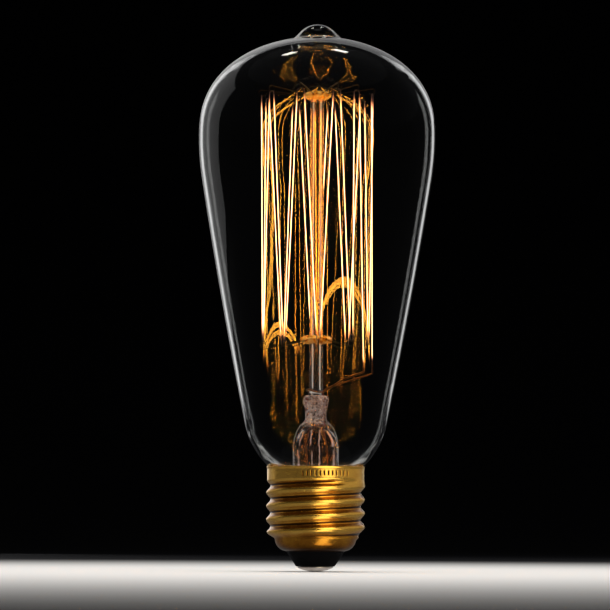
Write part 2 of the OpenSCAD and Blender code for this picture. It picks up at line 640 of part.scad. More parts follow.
module cap_insulator() {
    fit_r = bottom_bend_r - sheet - seat_gap;
    centre = [bottom_centre_r, bottom_bend_z];
    low = acos((insulator_r - bottom_centre_r) / fit_r);
    high = asin((bottom_bend_z - insulator_top_z) / fit_r);
    color([0.05, 0.05, 0.05]) rotate_extrude() polygon(concat(
        [[contact_tube_r, contact_h], [contact_r + 2 * seat_gap, contact_h], [insulator_r, shell_bottom_z],
         on_arc(centre, fit_r, -low)],
        arc(centre, fit_r, -low, -high, 5),
        [[outer_lead_d / 2 + lead_gap, insulator_top_z], [outer_lead_d / 2 + lead_gap, contact_tube_z],
         [contact_tube_r, contact_tube_z]]));
}

// Contact: a domed plate with a tube, and solder flush with its dome
contact_bore_r = contact_tube_r - sheet;
function contact_face(r) =
    contact_dome_h * (r * r - land_r * land_r) / (contact_r * contact_r - land_r * land_r);
function face_line(from, to, steps) =
    [for (k = [0:steps]) let (r = mix(from, to, k / steps)) [r, contact_face(r)]];

module centre_contact()
    color(brass) rotate_extrude() polygon(concat(
        face_line(solder_r, contact_r, 5),
        [[contact_r, contact_h], [contact_tube_r, contact_h], [contact_tube_r, contact_tube_z],
         [contact_bore_r, contact_tube_z], [contact_bore_r, solder_h], [solder_r, solder_h]]));

module centre_solder()
    color(solder_grey) rotate_extrude() polygon(concat(
        [[0, 0]], face_line(land_r, solder_r, 2), [[solder_r, solder_h], [0, solder_h]]));

glass_envelope();
stem_flare();
exhaust_tube();
support_rod();
upper_button();
lower_button();
for (i = [1:upper_hooks]) upper_hook(i);
for (i = [1:lower_hooks]) lower_hook(i);
filament();
inner_lead_left();
inner_lead_right();
seal_wire_left();
seal_wire_right();
outer_lead_centre();
outer_lead_side();
cap_shell();
capping_cement();
cap_insulator();
centre_contact();
centre_solder();
rim_solder();
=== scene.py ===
"""Looks of a teardrop filament lamp: blown glass, a worked glass stem, a glowing strand on wire hooks,
and a rolled brass screw cap. Shapes are worked out in millimetres, in the frame of the CAD solids:
Z = 0 is the lowest point of the contact, +Z runs to the glass tip and -Y is the front. An azimuth is
measured from the front towards +X."""

import bpy
import numpy as np
from mathutils import Euler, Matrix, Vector
from numpy import cos, pi, radians, sin


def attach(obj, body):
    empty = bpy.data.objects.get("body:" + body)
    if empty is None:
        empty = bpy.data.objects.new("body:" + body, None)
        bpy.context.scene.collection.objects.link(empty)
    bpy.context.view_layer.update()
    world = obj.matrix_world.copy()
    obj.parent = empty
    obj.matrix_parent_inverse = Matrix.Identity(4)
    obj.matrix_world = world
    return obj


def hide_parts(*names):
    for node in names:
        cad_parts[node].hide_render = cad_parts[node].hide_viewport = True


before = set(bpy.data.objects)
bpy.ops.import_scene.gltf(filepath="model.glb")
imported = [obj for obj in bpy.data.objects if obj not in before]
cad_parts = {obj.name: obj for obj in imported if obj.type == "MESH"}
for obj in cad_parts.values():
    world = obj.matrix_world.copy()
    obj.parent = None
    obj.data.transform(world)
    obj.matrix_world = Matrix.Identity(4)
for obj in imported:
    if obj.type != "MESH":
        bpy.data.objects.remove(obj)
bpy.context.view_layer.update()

MM = 0.001


# Numbers and curves

def mix(a, b, t):
    """a + (b - a) t."""
    return a + (b - a) * t


def smooth(low, high, x):
    """0 below low, 1 above high, and t t (3 - 2 t) between them."""
    t = np.clip((x - low) / (high - low), 0, 1)
    return t * t * (3 - 2 * t)


def unit(v):
    """Each vector of an array divided by its length."""
    return v / np.linalg.norm(v, axis=-1, keepdims=True)


def points_of(*coordinates):
    """Points from coordinates whose shapes broadcast together."""
    return np.stack(np.broadcast_arrays(*coordinates), -1)


def arc(centre, radius, start, end, steps):
    """Points at centre + radius (cos a, sin a), with a even from start to end, in degrees."""
    a = radians(np.linspace(start, end, steps))
    return np.array(centre) + radius * points_of(cos(a), sin(a))


def at(azimuth, radius, z, sideways=0.0):
    """A point at an azimuth and radius, moved sideways along the circle's tangent."""
    a = radians(azimuth)
    return points_of(radius * sin(a) + sideways * cos(a), sideways * sin(a) - radius * cos(a), z)


def around(r, a, z):
    """Points at radius r and height z, an angle a from +X, in radians."""
    return points_of(r * cos(a), r * sin(a), z)


def azimuth_of(turn):
    """An angle from +X, in radians, as an azimuth from -180 to 180 degrees."""
    return (np.degrees(turn) + 90 + 180) % 360 - 180


def lengths_of(line):
    """The length of a line up to each of its points."""
    return np.concatenate([[0], np.cumsum(np.linalg.norm(np.diff(line, axis=0), axis=1))])


def even(line, spacing):
    """The same line with its points an even distance apart, by straight interpolation over its length."""
    along = lengths_of(line)
    wanted = np.linspace(0, along[-1], int(np.ceil(along[-1] / spacing)) + 1)
    return points_of(*(np.interp(wanted, along, c) for c in line.T))


def soften(line, size, ring=False):
    """Rounds the corners of a line: its even points are averaged with Gaussian weights, of deviation
    size / 2. Past an open line's ends the points go on straight, so that the ends stay where they are."""
    step, reach = size / 4, 8
    weights = np.exp(-0.5 * (np.arange(-reach, reach + 1) / 2) ** 2)
    weights /= weights.sum()
    if ring:
        points = even(np.vstack([line, line[:1]]), step)[:-1]
        before, after = points[-reach:], points[:reach]
    else:
        points = even(line, step)
        before, after = 2 * points[0] - points[reach:0:-1], 2 * points[-1] - points[-2:-reach - 2:-1]
    longer = np.vstack([before, points, after])
    return points_of(*(np.convolve(c, weights, "valid") for c in longer.T))


def rows_of(line, corner, count, ring=False):
    """Softens a line's corners and picks count points of it, closer together where it turns: the share of
    each step is its length over the whole, plus 2.5 times its turn over a full circle."""
    line = soften(line, corner, ring)
    line = np.vstack([line, line[:1]]) if ring else line
    steps = np.diff(line, axis=0)
    lengths = np.linalg.norm(steps, axis=1)
    heading = np.unwrap(np.arctan2(steps[:, 1], steps[:, 0]))
    turns = np.abs(np.diff(heading, prepend=heading[0]))
    share = np.concatenate([[0], np.cumsum(lengths / lengths.sum() + 2.5 * turns / (2 * pi))])
    wanted = np.linspace(0, share[-1], count, endpoint=not ring)
    return points_of(*(np.interp(wanted, share, c) for c in line.T))


def through(stops, steps):
    """A Catmull-Rom curve through stops, given as (azimuth, radius, height): between b and c it is
    b + ((c - a) t + (2a - 5b + 4c - d) t^2 + (3b - a - 3c + d) t^3) / 2."""
    p = at(*np.transpose(stops))
    padded = np.vstack([p[:1], p, p[-1:]])
    a, b, c, d = (padded[i:len(p) - 1 + i, None] for i in range(4))
    t = (np.arange(steps) / steps)[None, :, None]
    curve = b + ((c - a) * t + (2 * a - 5 * b + 4 * c - d) * t ** 2 + (3 * b - a - 3 * c + d) * t ** 3) / 2
    return np.vstack([curve.reshape(-1, 3), p[-1:]])


def waviness(points, size, seed, waves=14):
    """A smooth uneven field of about -1 to 1: the mean of plane sine waves in seeded directions, with
    wavelengths from 0.7 to 1.5 times size, times the root of their count over 1.6."""
    random = np.random.default_rng(seed)
    direction = unit(random.normal(size=(waves, 3))) / (size * random.uniform(0.7, 1.5, (waves, 1)))
    phase = random.uniform(0, 2 * pi, waves)
    return sin(2 * pi * points @ direction.T + phase).mean(-1) * np.sqrt(waves) / 1.6


# Meshes

def surface(name, points, finish, ring=False, lengthwise=None, **values):
    """Faces over a grid of points, rows by columns. The last column meets the first, and where ring is true
    the last row meets the first. A row whose points coincide is a pole. The UV map holds the share of the
    way round, and each row's value of lengthwise or else its number. Other values become attributes."""
    rows, columns = points.shape[:2]
    index = np.arange(rows * columns).reshape(rows, columns)
    pole = np.ptp(points, axis=1).max(axis=1) < 1e-7
    index[pole] = index[pole, :1]
    bands = rows if ring else rows - 1
    here, below = index[:bands], np.roll(index, -1, 0)[:bands]
    faces = np.stack([here, below, np.roll(below, -1, 1), np.roll(here, -1, 1)], -1).reshape(-1, 4)
    along = np.arange(rows, dtype=float) if lengthwise is None else lengthwise
    v0, v1 = (np.repeat(run[:bands], columns) for run in (along, np.roll(along, -1)))
    u0 = np.tile(np.arange(columns) / columns, bands)
    u1 = u0 + 1 / columns
    uv = np.transpose([[u0, v0], [u0, v1], [u1, v1], [u1, v0]], (2, 0, 1))
    from_pole, to_pole = faces[:, 0] == faces[:, 3], faces[:, 1] == faces[:, 2]
    groups = [(~from_pole & ~to_pole, [0, 1, 2, 3]), (from_pole, [0, 1, 2]), (to_pole, [0, 1, 3])]
    kept, place = np.unique(faces, return_inverse=True)
    faces = place.reshape(-1, 4)
    polygons = [f for chosen, corners in groups for f in faces[chosen][:, corners].tolist()]
    corners_uv = np.concatenate([uv[chosen][:, corners].reshape(-1, 2) for chosen, corners in groups])
    mesh = bpy.data.meshes.new(name)
    mesh.from_pydata((points.reshape(-1, 3)[kept] * MM).tolist(), [], polygons)
    mesh.uv_layers.new(name="Lengthwise").data.foreach_set("uv", corners_uv.ravel())
    for key, value in values.items():
        value = np.broadcast_to(value, (rows, columns)).ravel()[kept]
        mesh.attributes.new(key, "FLOAT", "POINT").data.foreach_set("value", value)
    mesh.shade_smooth()
    mesh.materials.append(finish)
    piece = bpy.data.objects.new(name, mesh)
    bpy.context.scene.collection.objects.link(piece)
    return piece


def turned(outline, columns):
    """A grid for an outline (radius, height) turned about Z: (r cos a, r sin a, z), with a even round the
    circle. An outline that runs down its outside gives faces that point out."""
    return around(outline[:, :1], np.arange(columns) * 2 * pi / columns, outline[:, 1:])


def from_axis(grid):
    """How far each point is from Z, and at least a millionth."""
    return np.maximum(np.linalg.norm(grid[..., :2], axis=-1), 1e-6)


def pin_poles(grid):
    """Puts the first and the last row on Z, each at one height."""
    grid[[0, -1], :, :2] = 0
    grid[[0, -1], :, 2] = grid[[0, -1], :1, 2]


def swept(path, radius, columns, reference):
    """A grid for a round section carried along a path: p + r (u cos a - v sin a), with u the part of the
    reference direction that is square to the path and v = heading x u. Both ends are rounded to a pole.
    Returns the grid and the length along it."""
    heading = unit(np.gradient(path, axis=0))
    radius = np.broadcast_to(radius, len(path))
    t = radians(np.linspace(0, 90, 6))[1:]
    start = path[0] - heading[0] * radius[0] * sin(t[::-1, None])
    end = path[-1] + heading[-1] * radius[-1] * sin(t[:, None])
    centre = np.vstack([start, path, end])
    heading, reference = (np.pad(each, ((len(t), len(t)), (0, 0)), mode="edge")
                          for each in (heading, np.broadcast_to(reference, path.shape)))
    size = np.concatenate([radius[0] * cos(t[::-1]), radius, radius[-1] * cos(t)])
    size[[0, -1]] = 0
    u = unit(reference - heading * (reference * heading).sum(-1, keepdims=True))
    v = np.cross(heading, u)
    a = (np.arange(columns) * 2 * pi / columns)[None, :, None]
    grid = centre[:, None] + size[:, None, None] * (u[:, None] * cos(a) - v[:, None] * sin(a))
    return grid, lengths_of(centre)


def fit(name, grid, finish, slot, *nodes, **more):
    """A surface that stands for its CAD nodes, rides on the only body and takes the finish it is given. slot
    is not used.
    """
    piece = surface(name, grid, finish, **more)
    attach(piece, "root")
    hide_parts(*nodes)
    return piece


def wire(name, path, radius, columns, reference, finish, slot, node):
    """A round wire along a path, which stands for one CAD node."""
    grid, along = swept(path, radius, columns, reference)
    fit(name, grid, finish, slot, node, lengthwise=along)


# Finishes

def colour(code):
    """An sRGB hex value as linear colour: c / 12.92 up to 0.04045, and ((c + 0.055) / 1.055)^2.4 above."""
    c = np.array([*bytes.fromhex(code)]) / 255
    return (*np.where(c <= 0.04045, c / 12.92, ((c + 0.055) / 1.055) ** 2.4).tolist(), 1.0)


def add(material, kind, inputs, stops=None, **settings):
    """Adds a shader node. inputs maps a socket's name or number to a value, to another node, which means
    its first output, or to an output. settings are the node's own, and stops are a ramp's (place, hex
    colour) pairs."""
    node = material.node_tree.nodes.new("ShaderNode" + kind)
    for key, value in settings.items():
        setattr(node, key, value)
    for key, value in inputs.items():
        value = value.outputs[0] if isinstance(value, bpy.types.Node) else value
        if isinstance(value, bpy.types.NodeSocket):
            material.node_tree.links.new(value, node.inputs[key])
        else:
            node.inputs[key].default_value = value
    for i, (place, code) in enumerate(stops or []):
        element = node.color_ramp.elements[i] if i < 2 else node.color_ramp.elements.new(place)
        element.position, element.color = place, colour(code)
    return node


def start(name):
    """A new material, with its coordinates in millimetres on the object."""
    material = bpy.data.materials.new(name)
    material.use_nodes = True
    material.node_tree.nodes.clear()
    place = add(material, "TexCoord", {}).outputs["Object"]
    return material, add(material, "VectorMath", {0: place, 1: (1 / MM,) * 3}, operation="MULTIPLY")


def finish_with(material, shader):
    """The material, with the shader at its output."""
    add(material, "OutputMaterial", {"Surface": shader})
    return material


def let_lamps_through(material, glass, tint):
    """Glass for the eye, and a clear tint for shadow rays, so that the studio's lamps reach the inside."""
    ray = add(material, "LightPath", {})
    clear = add(material, "BsdfTransparent", {"Color": tint})
    return add(material, "MixShader", {0: ray.outputs["Is Shadow Ray"], 1: glass, 2: clear})


def blown_glass():
    """Soda-lime glass, blown and fire polished: almost colourless, with slow waves from the blowing."""
    m, mm = start("blown_soda_lime_glass")
    waves = add(m, "TexNoise", {"Vector": mm, "Scale": 1 / 14, "Detail": 1.0})
    bump = add(m, "Bump", {"Height": waves, "Strength": 0.12, "Distance": 0.25 * MM})
    glass = add(m, "BsdfPrincipled", {
        "Base Color": colour("FBFCFB"), "Roughness": 0.0, "IOR": 1.52, "Transmission Weight": 1.0,
        "Normal": bump})
    return finish_with(m, let_lamps_through(m, glass, colour("F6F7F6")))


def worked_glass(name, bubbles, tint="F3EEE8", glow=None, grain=None, frost=0.0, clear=1.0, rough_z=None):
    """Lead glass, softened in a flame and pressed: seeds of 0.7 mm and folds of 1.6 mm bend what shows
    through, only faintly below rough_z, where the tube kept its drawn skin, and the folds above are milky.
    Next to the strands it is given painted amber light: glow paints it as (place, colour) over the height,
    and grain paints light and shade over the relief, dark in its hollows and bright on its heights. Fine
    bubbles make it less clear."""
    m, mm = start(name)
    seeds = add(m, "TexVoronoi", {"Vector": mm, "Scale": 1 / 0.7}, feature="SMOOTH_F1")
    folds = add(m, "TexNoise", {"Vector": mm, "Scale": 1 / 1.6, "Detail": 3.0, "Distortion": 0.6})
    relief = add(m, "Math", {0: seeds, 1: folds}, operation="ADD")
    height = add(m, "SeparateXYZ", {"Vector": mm}).outputs["Z"]
    if rough_z:
        drawn_bubbles, drawn_clear = 0.07, 0.993
        pressed = add(m, "MapRange", {"Value": height, "From Min": rough_z - 2, "From Max": rough_z + 1})
        fold = add(m, "MapRange", {"Value": relief, "From Min": 0.75, "From Max": 1.05})
        milk = add(m, "Math", {0: pressed, 1: fold}, operation="MULTIPLY")
        bubbles, clear = (
            add(m, "Math", {0: place, 1: worked - drawn, 2: drawn}, operation="MULTIPLY_ADD")
            for place, worked, drawn in ((pressed, bubbles, drawn_bubbles), (milk, clear, drawn_clear)))
    bump = add(m, "Bump", {"Height": relief, "Strength": bubbles, "Distance": 0.3 * MM})
    base = colour(tint)
    # Painted light: the strands' amber glow laid into the base colour by height
    if glow:
        share = add(m, "MapRange", {"Value": height, "From Min": 40.0, "From Max": 140.0})
        base = add(m, "ValToRGB", {0: share}, stops=glow)
    # Painted light and shade: dark in the relief's hollows, bright on its heights
    if grain:
        base = add(m, "ValToRGB", {0: relief}, stops=grain)
    glass = add(m, "BsdfPrincipled", {
        "Base Color": base, "Roughness": frost, "IOR": 1.56, "Transmission Weight": clear, "Normal": bump})
    return finish_with(m, let_lamps_through(m, glass, colour("EFE9E2")))


def glowing_strand():
    """Carbonised strand, lit: pale peach at its hottest, then amber and dull brown where the hooks and leads
    cool it. The fine coil, of 0.25 mm a turn, is painted as bright and dim bands on the glow, at 1 mm a turn
    so that it shows: a wave texture's bands are 0.314 over its scale apart. A camera clips the strand itself
    nearly to white but not its images in the glass, so light that comes by more than the envelope's two
    skins counts about three times, and is amber."""
    m, mm = start("glowing_carbon_strand")
    heat = add(m, "Attribute", {}, attribute_name="warmth")
    glow = add(m, "ValToRGB", {0: heat.outputs["Fac"]}, stops=[
        (0.0, "060302"), (1.0, "FFB260"), (0.25, "180D08"), (0.5, "462610"), (0.8, "B46C36")])
    length = add(m, "UVMap", {}, uv_map="Lengthwise")
    # Painted light and shade: the coil's turns as bright and dim bands along the strand
    coil = add(m, "TexWave", {"Vector": length, "Scale": 0.32}, bands_direction="Y")
    shade = add(m, "MapRange", {"Value": coil.outputs["Fac"], "To Min": 0.78, "To Max": 1.0})
    light = add(m, "VectorMath", {0: glow, 1: shade}, operation="MULTIPLY")
    ray = add(m, "LightPath", {})
    image = add(m, "MapRange", {"Value": ray.outputs["Ray Depth"], "From Min": 2.0, "From Max": 3.0})
    direct, image_more = (8.2, 8.8, 15), (22, 18, -4)
    gain = add(m, "VectorMath", {0: image, 1: image_more, 2: direct}, operation="MULTIPLY_ADD")
    seen = add(m, "VectorMath", {0: light, 1: gain}, operation="MULTIPLY")
    return finish_with(m, add(m, "BsdfPrincipled", {
        "Base Color": colour("2A211C"), "Roughness": 0.7, "Emission Color": seen,
        "Emission Strength": 1.0}))


def drawn_wire(name, bright, dark, roughness):
    """Wire drawn through a die: a fine grain of 0.12 mm, and patches of oxide, of 1.8 mm, from the flame."""
    m, mm = start(name)
    patches = add(m, "TexNoise", {"Vector": mm, "Scale": 1 / 1.8, "Detail": 4.0})
    tone = add(m, "ValToRGB", {0: patches}, stops=[(0.3, dark), (0.68, bright)])
    grain = add(m, "TexNoise", {"Vector": mm, "Scale": 1 / 0.12, "Detail": 2.0})
    bump = add(m, "Bump", {"Height": grain, "Strength": 0.25, "Distance": 0.02 * MM})
    return finish_with(m, add(m, "BsdfPrincipled", {
        "Base Color": tone, "Metallic": 1.0, "Roughness": roughness, "Normal": bump}))


def rolled_brass():
    """Brass sheet, rolled to a thread and lacquered: crests rubbed bright, and brown painted shade in the
    punched marks, in a thin line along each root and on the flank below it. Fine rolling lines run round the
    axis. The aged lacquer scatters a little light, so a twentieth isn't metallic."""
    m, mm = start("rolled_brass_sheet")
    flat = add(m, "VectorMath", {0: mm, 1: (1, 1, 0)}, operation="MULTIPLY")
    out = add(m, "VectorMath", {0: flat}, operation="LENGTH").outputs["Value"]
    depth = add(m, "MapRange", {"Value": out, "From Min": 9.4, "From Max": 13.0})
    cloud = add(m, "TexNoise", {"Vector": mm, "Scale": 1 / 4.5, "Detail": 5.0, "Roughness": 0.6})
    wear = add(m, "Math", {0: cloud, 1: 0.75, 2: -0.37}, operation="MULTIPLY_ADD")
    place = add(m, "Math", {0: depth, 1: wear}, operation="ADD", use_clamp=True)
    # The stamped attribute holds painted shade: brown in the strokes and on the thread's roots and up-facing
    # flanks
    painted_shade_mask = add(m, "Attribute", {}, attribute_name="stamped")
    clean = add(m, "Math", {0: place, 1: painted_shade_mask.outputs["Fac"]}, operation="SUBTRACT", use_clamp=True)
    tone = add(m, "ValToRGB", {0: clean}, stops=[
        (0.0, "4E2E0E"), (1.0, "F0BE5A"), (0.35, "9C6620"), (0.7, "DA9E3A")])
    rolling = add(m, "VectorMath", {0: mm, 1: (0.15, 0.15, 9.0)}, operation="MULTIPLY")
    lines = add(m, "TexNoise", {"Vector": rolling, "Scale": 1.0, "Detail": 3.0})
    grain = add(m, "TexNoise", {"Vector": mm, "Scale": 1 / 0.5, "Detail": 4.0})
    rough = add(m, "MapRange", {"Value": grain, "To Min": 0.16, "To Max": 0.32})
    fine = add(m, "Bump", {"Height": lines, "Strength": 0.25, "Distance": 0.03 * MM})
    bump = add(m, "Bump", {"Height": cloud, "Strength": 0.3, "Distance": 0.12 * MM, "Normal": fine})
    return finish_with(m, add(m, "BsdfPrincipled", {
        "Base Color": tone, "Metallic": 0.95, "Roughness": rough, "Normal": bump}))


def cast_cap_glass():
    """Black glass, cast and cooled in the shell: glossy, with shallow flow waves and a few dull specks."""
    m, mm = start("black_cap_glass")
    flow = add(m, "TexNoise", {"Vector": mm, "Scale": 1 / 2.5, "Detail": 3.0, "Distortion": 0.8})
    bump = add(m, "Bump", {"Height": flow, "Strength": 0.3, "Distance": 0.15 * MM})
    specks = add(m, "TexNoise", {"Vector": mm, "Scale": 1 / 0.6, "Detail": 2.0})
    rough = add(m, "MapRange", {
        "Value": specks, "From Min": 0.45, "From Max": 0.75, "To Min": 0.06, "To Max": 0.3})
    return finish_with(m, add(m, "BsdfPrincipled", {
        "Base Color": colour("0C0C0E"), "Roughness": rough, "IOR": 1.55, "Normal": bump}))


def tinned_plate():
    """Brass plate, stamped and tinned: dull silver with a trace of the warm brass, and rub marks turned
    round the axis, 0.35 mm apart."""
    m, mm = start("tinned_contact_plate")
    cloud = add(m, "TexNoise", {"Vector": mm, "Scale": 1 / 1.6, "Detail": 4.0})
    tone = add(m, "ValToRGB", {0: cloud}, stops=[(0.3, "9C9088"), (0.7, "C9C1BA")])
    rings = add(m, "TexWave", {"Vector": mm, "Scale": 0.9, "Distortion": 2.0}, wave_type="RINGS",
                rings_direction="Z")
    bump = add(m, "Bump", {"Height": rings.outputs["Fac"], "Strength": 0.15, "Distance": 0.02 * MM})
    return finish_with(m, add(m, "BsdfPrincipled", {
        "Base Color": tone, "Metallic": 1.0, "Roughness": 0.34, "Normal": bump}))


def frozen_solder():
    """Tin solder: bright where it froze first and frosted between, with a grain of about 0.5 mm."""
    m, mm = start("tin_solder")
    grains = add(m, "TexVoronoi", {"Vector": mm, "Scale": 1 / 0.5})
    tone = add(m, "ValToRGB", {0: grains}, stops=[(0.1, "A9A6A2"), (0.8, "7E7B77")])
    rough = add(m, "MapRange", {"Value": grains, "To Min": 0.28, "To Max": 0.5})
    bump = add(m, "Bump", {"Height": grains, "Strength": 0.3, "Distance": 0.05 * MM})
    return finish_with(m, add(m, "BsdfPrincipled", {
        "Base Color": tone, "Metallic": 1.0, "Roughness": rough, "Normal": bump}))


def baked_cement():
    """Marble-flour cement, baked in the cap: matt, off-white, with grains and scorched patches."""
    m, mm = start("baked_capping_cement")
    cloud = add(m, "TexNoise", {"Vector": mm, "Scale": 1 / 3, "Detail": 6.0})
    tone = add(m, "ValToRGB", {0: cloud}, stops=[(0.3, "A89272"), (0.65, "DCD3C2")])
    grit = add(m, "TexNoise", {"Vector": mm, "Scale": 1 / 0.3, "Detail": 4.0})
    bump = add(m, "Bump", {"Height": grit, "Strength": 0.6, "Distance": 0.15 * MM})
    return finish_with(m, add(m, "BsdfPrincipled", {"Base Color": tone, "Roughness": 0.9, "Normal": bump}))


def studio_paper():
    """Matt studio paper with a painted pool of light: pale under the object and graded to dark 600 mm out,
    with a faint mottle. Its colour is also painted dark in reflections, and where it is seen through the
    stem, whose thick glass would bend it into view."""
    m, mm = start("matt_studio_paper")
    flat = add(m, "VectorMath", {0: mm, 1: (1, 1, 0)}, operation="MULTIPLY")
    out = add(m, "VectorMath", {0: flat}, operation="LENGTH").outputs["Value"]
    # Painted light: pale near the object, darker outward
    painted_light_falloff = add(m, "MapRange", {"Value": out, "From Min": 40.0, "From Max": 600.0},
               interpolation_type="SMOOTHSTEP")
    # Painted shade: black for rays that were reflected or that passed through the stem's thick glass
    ray = add(m, "LightPath", {})
    by_stem = add(m, "MapRange", {
        "Value": ray.outputs["Transmission Depth"], "From Min": 5.0, "From Max": 8.0})
    painted_dark_by_ray = add(m, "Math", {0: by_stem, 1: ray.outputs["Glossy Depth"]}, operation="ADD")
    dark = add(m, "Math", {0: painted_light_falloff, 1: painted_dark_by_ray}, operation="ADD", use_clamp=True)
    tone = add(m, "ValToRGB", {"Fac": dark}, stops=[(0.0, "E2DFDB"), (1.0, "0C0C0E")])
    mottle = add(m, "TexNoise", {"Vector": mm, "Scale": 1 / 300, "Detail": 2.0})
    rough = add(m, "MapRange", {"Value": mottle, "To Min": 0.8, "To Max": 0.95})
    return finish_with(m, add(m, "BsdfPrincipled", {
        "Base Color": tone, "Roughness": rough, "Specular IOR Level": 0.1}))


# Painted light: the rod's amber between the buttons and the beads' amber light and shade stand in for the
# strands' glow
AMBER_ROD_PAINTED_GLOW = [(0.0, "F1ECE6"), (1.0, "FFDDC0"), (0.20, "F1ECE6"), (0.25, "FFD8BA"), (0.86, "FFD8BA")]
AMBER_BEAD_PAINTED_LIGHT_AND_SHADE = [(0.5, "3E1C04"), (1.0, "FFE088"), (0.68, "B46A10"), (0.86, "FFB52E")]
clear_envelope = blown_glass()
pressed_glass = worked_glass("pressed_stem_glass", 1.0, "F7E2DB", clear=0.5, rough_z=40.5)
tube_glass = worked_glass("drawn_tube_glass", 0.12)
rod_glass_painted_glow = worked_glass("drawn_rod_glass_painted_glow", 0.1, glow=AMBER_ROD_PAINTED_GLOW, frost=0.12)
bead_glass_painted_light = worked_glass("bead_glass_painted_amber_light", 0.9, grain=AMBER_BEAD_PAINTED_LIGHT_AND_SHADE, frost=0.12, clear=0.6)
strand_glow = glowing_strand()
molybdenum = drawn_wire("drawn_molybdenum", "2C2725", "151211", 0.5)
nickel = drawn_wire("drawn_nickel", "96705A", "4A3026", 0.36)
borated_wire = drawn_wire("borated_copper_clad_wire", "A8301C", "5A140E", 0.4)
copper = drawn_wire("soft_copper_wire", "C97B4E", "8A4A2C", 0.35)
brass = rolled_brass()
black_glass = cast_cap_glass()
contact_plate = tinned_plate()
solder = frozen_solder()
cement = baked_cement()


# Glass envelope

envelope_r, widest_z, dome_h, dome_power = 31.95, 117.3, 26.7, 2.36
glass_wall, tip_ring_extra = 0.9, 0.9
tip_rise, tip_round_r, tip_wall, tip_hollow_r = 3.7, 6.3, 1.1, 4.8
blend_r, taper_angle, taper_r, shoulder_r = 76.0, 8.9, 1400.0, 22.0
neck_r, neck_bend_r, neck_bend_depth, neck_bottom_z = 11.2, 3.0, 2.68, 13.0
rim_z = 28.0

blend_centre = np.array([envelope_r - blend_r, widest_z])
taper_centre = arc(blend_centre, blend_r - taper_r, -taper_angle, -taper_angle, 1)[0]
neck_centre = np.array([neck_r + neck_bend_r, rim_z - neck_bend_depth])
to_neck = neck_centre - taper_centre
shoulder_angle = -np.degrees(
    np.arctan2(to_neck[1], to_neck[0])
    + np.arccos(((taper_r - shoulder_r) ** 2 + to_neck @ to_neck - (shoulder_r + neck_bend_r) ** 2)
                / (2 * (taper_r - shoulder_r) * np.linalg.norm(to_neck))))
shoulder_centre = arc(taper_centre, taper_r - shoulder_r, -shoulder_angle, -shoulder_angle, 1)[0]
neck_angle = np.degrees(np.arccos((neck_centre[0] - shoulder_centre[0]) / (shoulder_r + neck_bend_r)))


def side_line(depth):
    """The side below the widest ring, moved in by depth: four arcs, tangent in turn, and the neck."""
    return np.vstack([
        arc(blend_centre, blend_r - depth, 0, -taper_angle, 40)[1:],
        arc(taper_centre, taper_r - depth, -taper_angle, -shoulder_angle, 60),
        arc(shoulder_centre, shoulder_r - depth, -shoulder_angle, -neck_angle, 80),
        arc(neck_centre, neck_bend_r + depth, 180 - neck_angle, 180, 24),
        [[neck_r - depth, neck_bottom_z]]])


def dome_point(a):
    """(r / envelope_r)^2 + (h / dome_h)^dome_power = 1, with a in radians, a quarter turn at the widest."""
    return points_of(envelope_r * sin(a), widest_z + dome_h * np.abs(cos(a)) ** (2 / dome_power))


def dome_normal(a):
    """The way straight out of the dome there: the gradient of that sum, divided by its length."""
    return unit(points_of(2 * sin(a) / envelope_r,
                          dome_power * np.abs(cos(a)) ** (2 - 2 / dome_power) / dome_h))


crown_z = widest_z + dome_h
tip_z = crown_z + tip_rise
tip_ball_z = tip_z - tip_round_r
tip_cone_sum = tip_ball_z + tip_round_r * np.sqrt(2)
tip_foot_r = tip_cone_sum - dome_point(np.arcsin((tip_cone_sum - crown_z) / envelope_r))[1]
ring_r, ring_spread = tip_foot_r * 1.1, 2.4

outer_dome = dome_point(np.linspace(np.arcsin(tip_foot_r / envelope_r), pi / 2, 160))
inner_angle = np.linspace(np.arcsin(ring_r / envelope_r), pi / 2, 160)
inner_dome = dome_point(inner_angle)
thickness = glass_wall + tip_ring_extra * np.exp(-((inner_dome[:, :1] - ring_r) / ring_spread) ** 2)
inner_dome = inner_dome - dome_normal(inner_angle) * thickness
hollow_foot_z = dome_point(np.arcsin(tip_hollow_r / envelope_r))[1]
ring_foot_r, ring_foot_z = inner_dome[0]
swing = radians(np.linspace(0, 90, 24, endpoint=False))
ring_inner = points_of(ring_foot_r - (ring_foot_r - tip_hollow_r) * cos(swing),
                       hollow_foot_z - (hollow_foot_z - ring_foot_z) * sin(swing))

outside = np.vstack([
    [[0, tip_z]], arc([0, tip_ball_z], tip_round_r, 90, 45, 30)[1:], outer_dome, side_line(0)])
inside = np.vstack([
    side_line(glass_wall)[::-1], inner_dome[::-1], ring_inner[::-1], [[0, tip_z - tip_wall]]])
outside, inside = rows_of(outside, 0.9, 170), rows_of(inside, 0.45, 180)
grid = turned(np.vstack([outside, inside]), 168)
# The inside is uneven where the glass was worked: above the cap, mostly at its sides, and round the tip
front_wave, side_wave, dome_ring, dome_ring_step, tip_wave = 0.004, 0.08, 0.014, 2.4, 0.03
inner = grid[len(outside):]
height = inner[..., 2]
to_side = smooth(0.86, 0.98, np.abs(inner[..., 0]) / from_axis(inner))
worked = smooth(52, 40, height) * smooth(24, 30, height) * mix(front_wave, side_wave, to_side)
rings = smooth(128, 133, height) * smooth(141, 138, height) * sin(2 * pi * height / dome_ring_step)
uneven = worked * waviness(inner, 3.6, 3) + dome_ring * rings
uneven += tip_wave * smooth(134, 141, height) * waviness(inner, 5.0, 4)
inner[..., :2] += unit(inner[..., :2] + 1e-9) * uneven[..., None]
pin_poles(grid)
fit("envelope", grid, clear_envelope, "envelope_glass", "glass_envelope")


# Stem: a flare tube whose top is pinched flat round the sealed wires

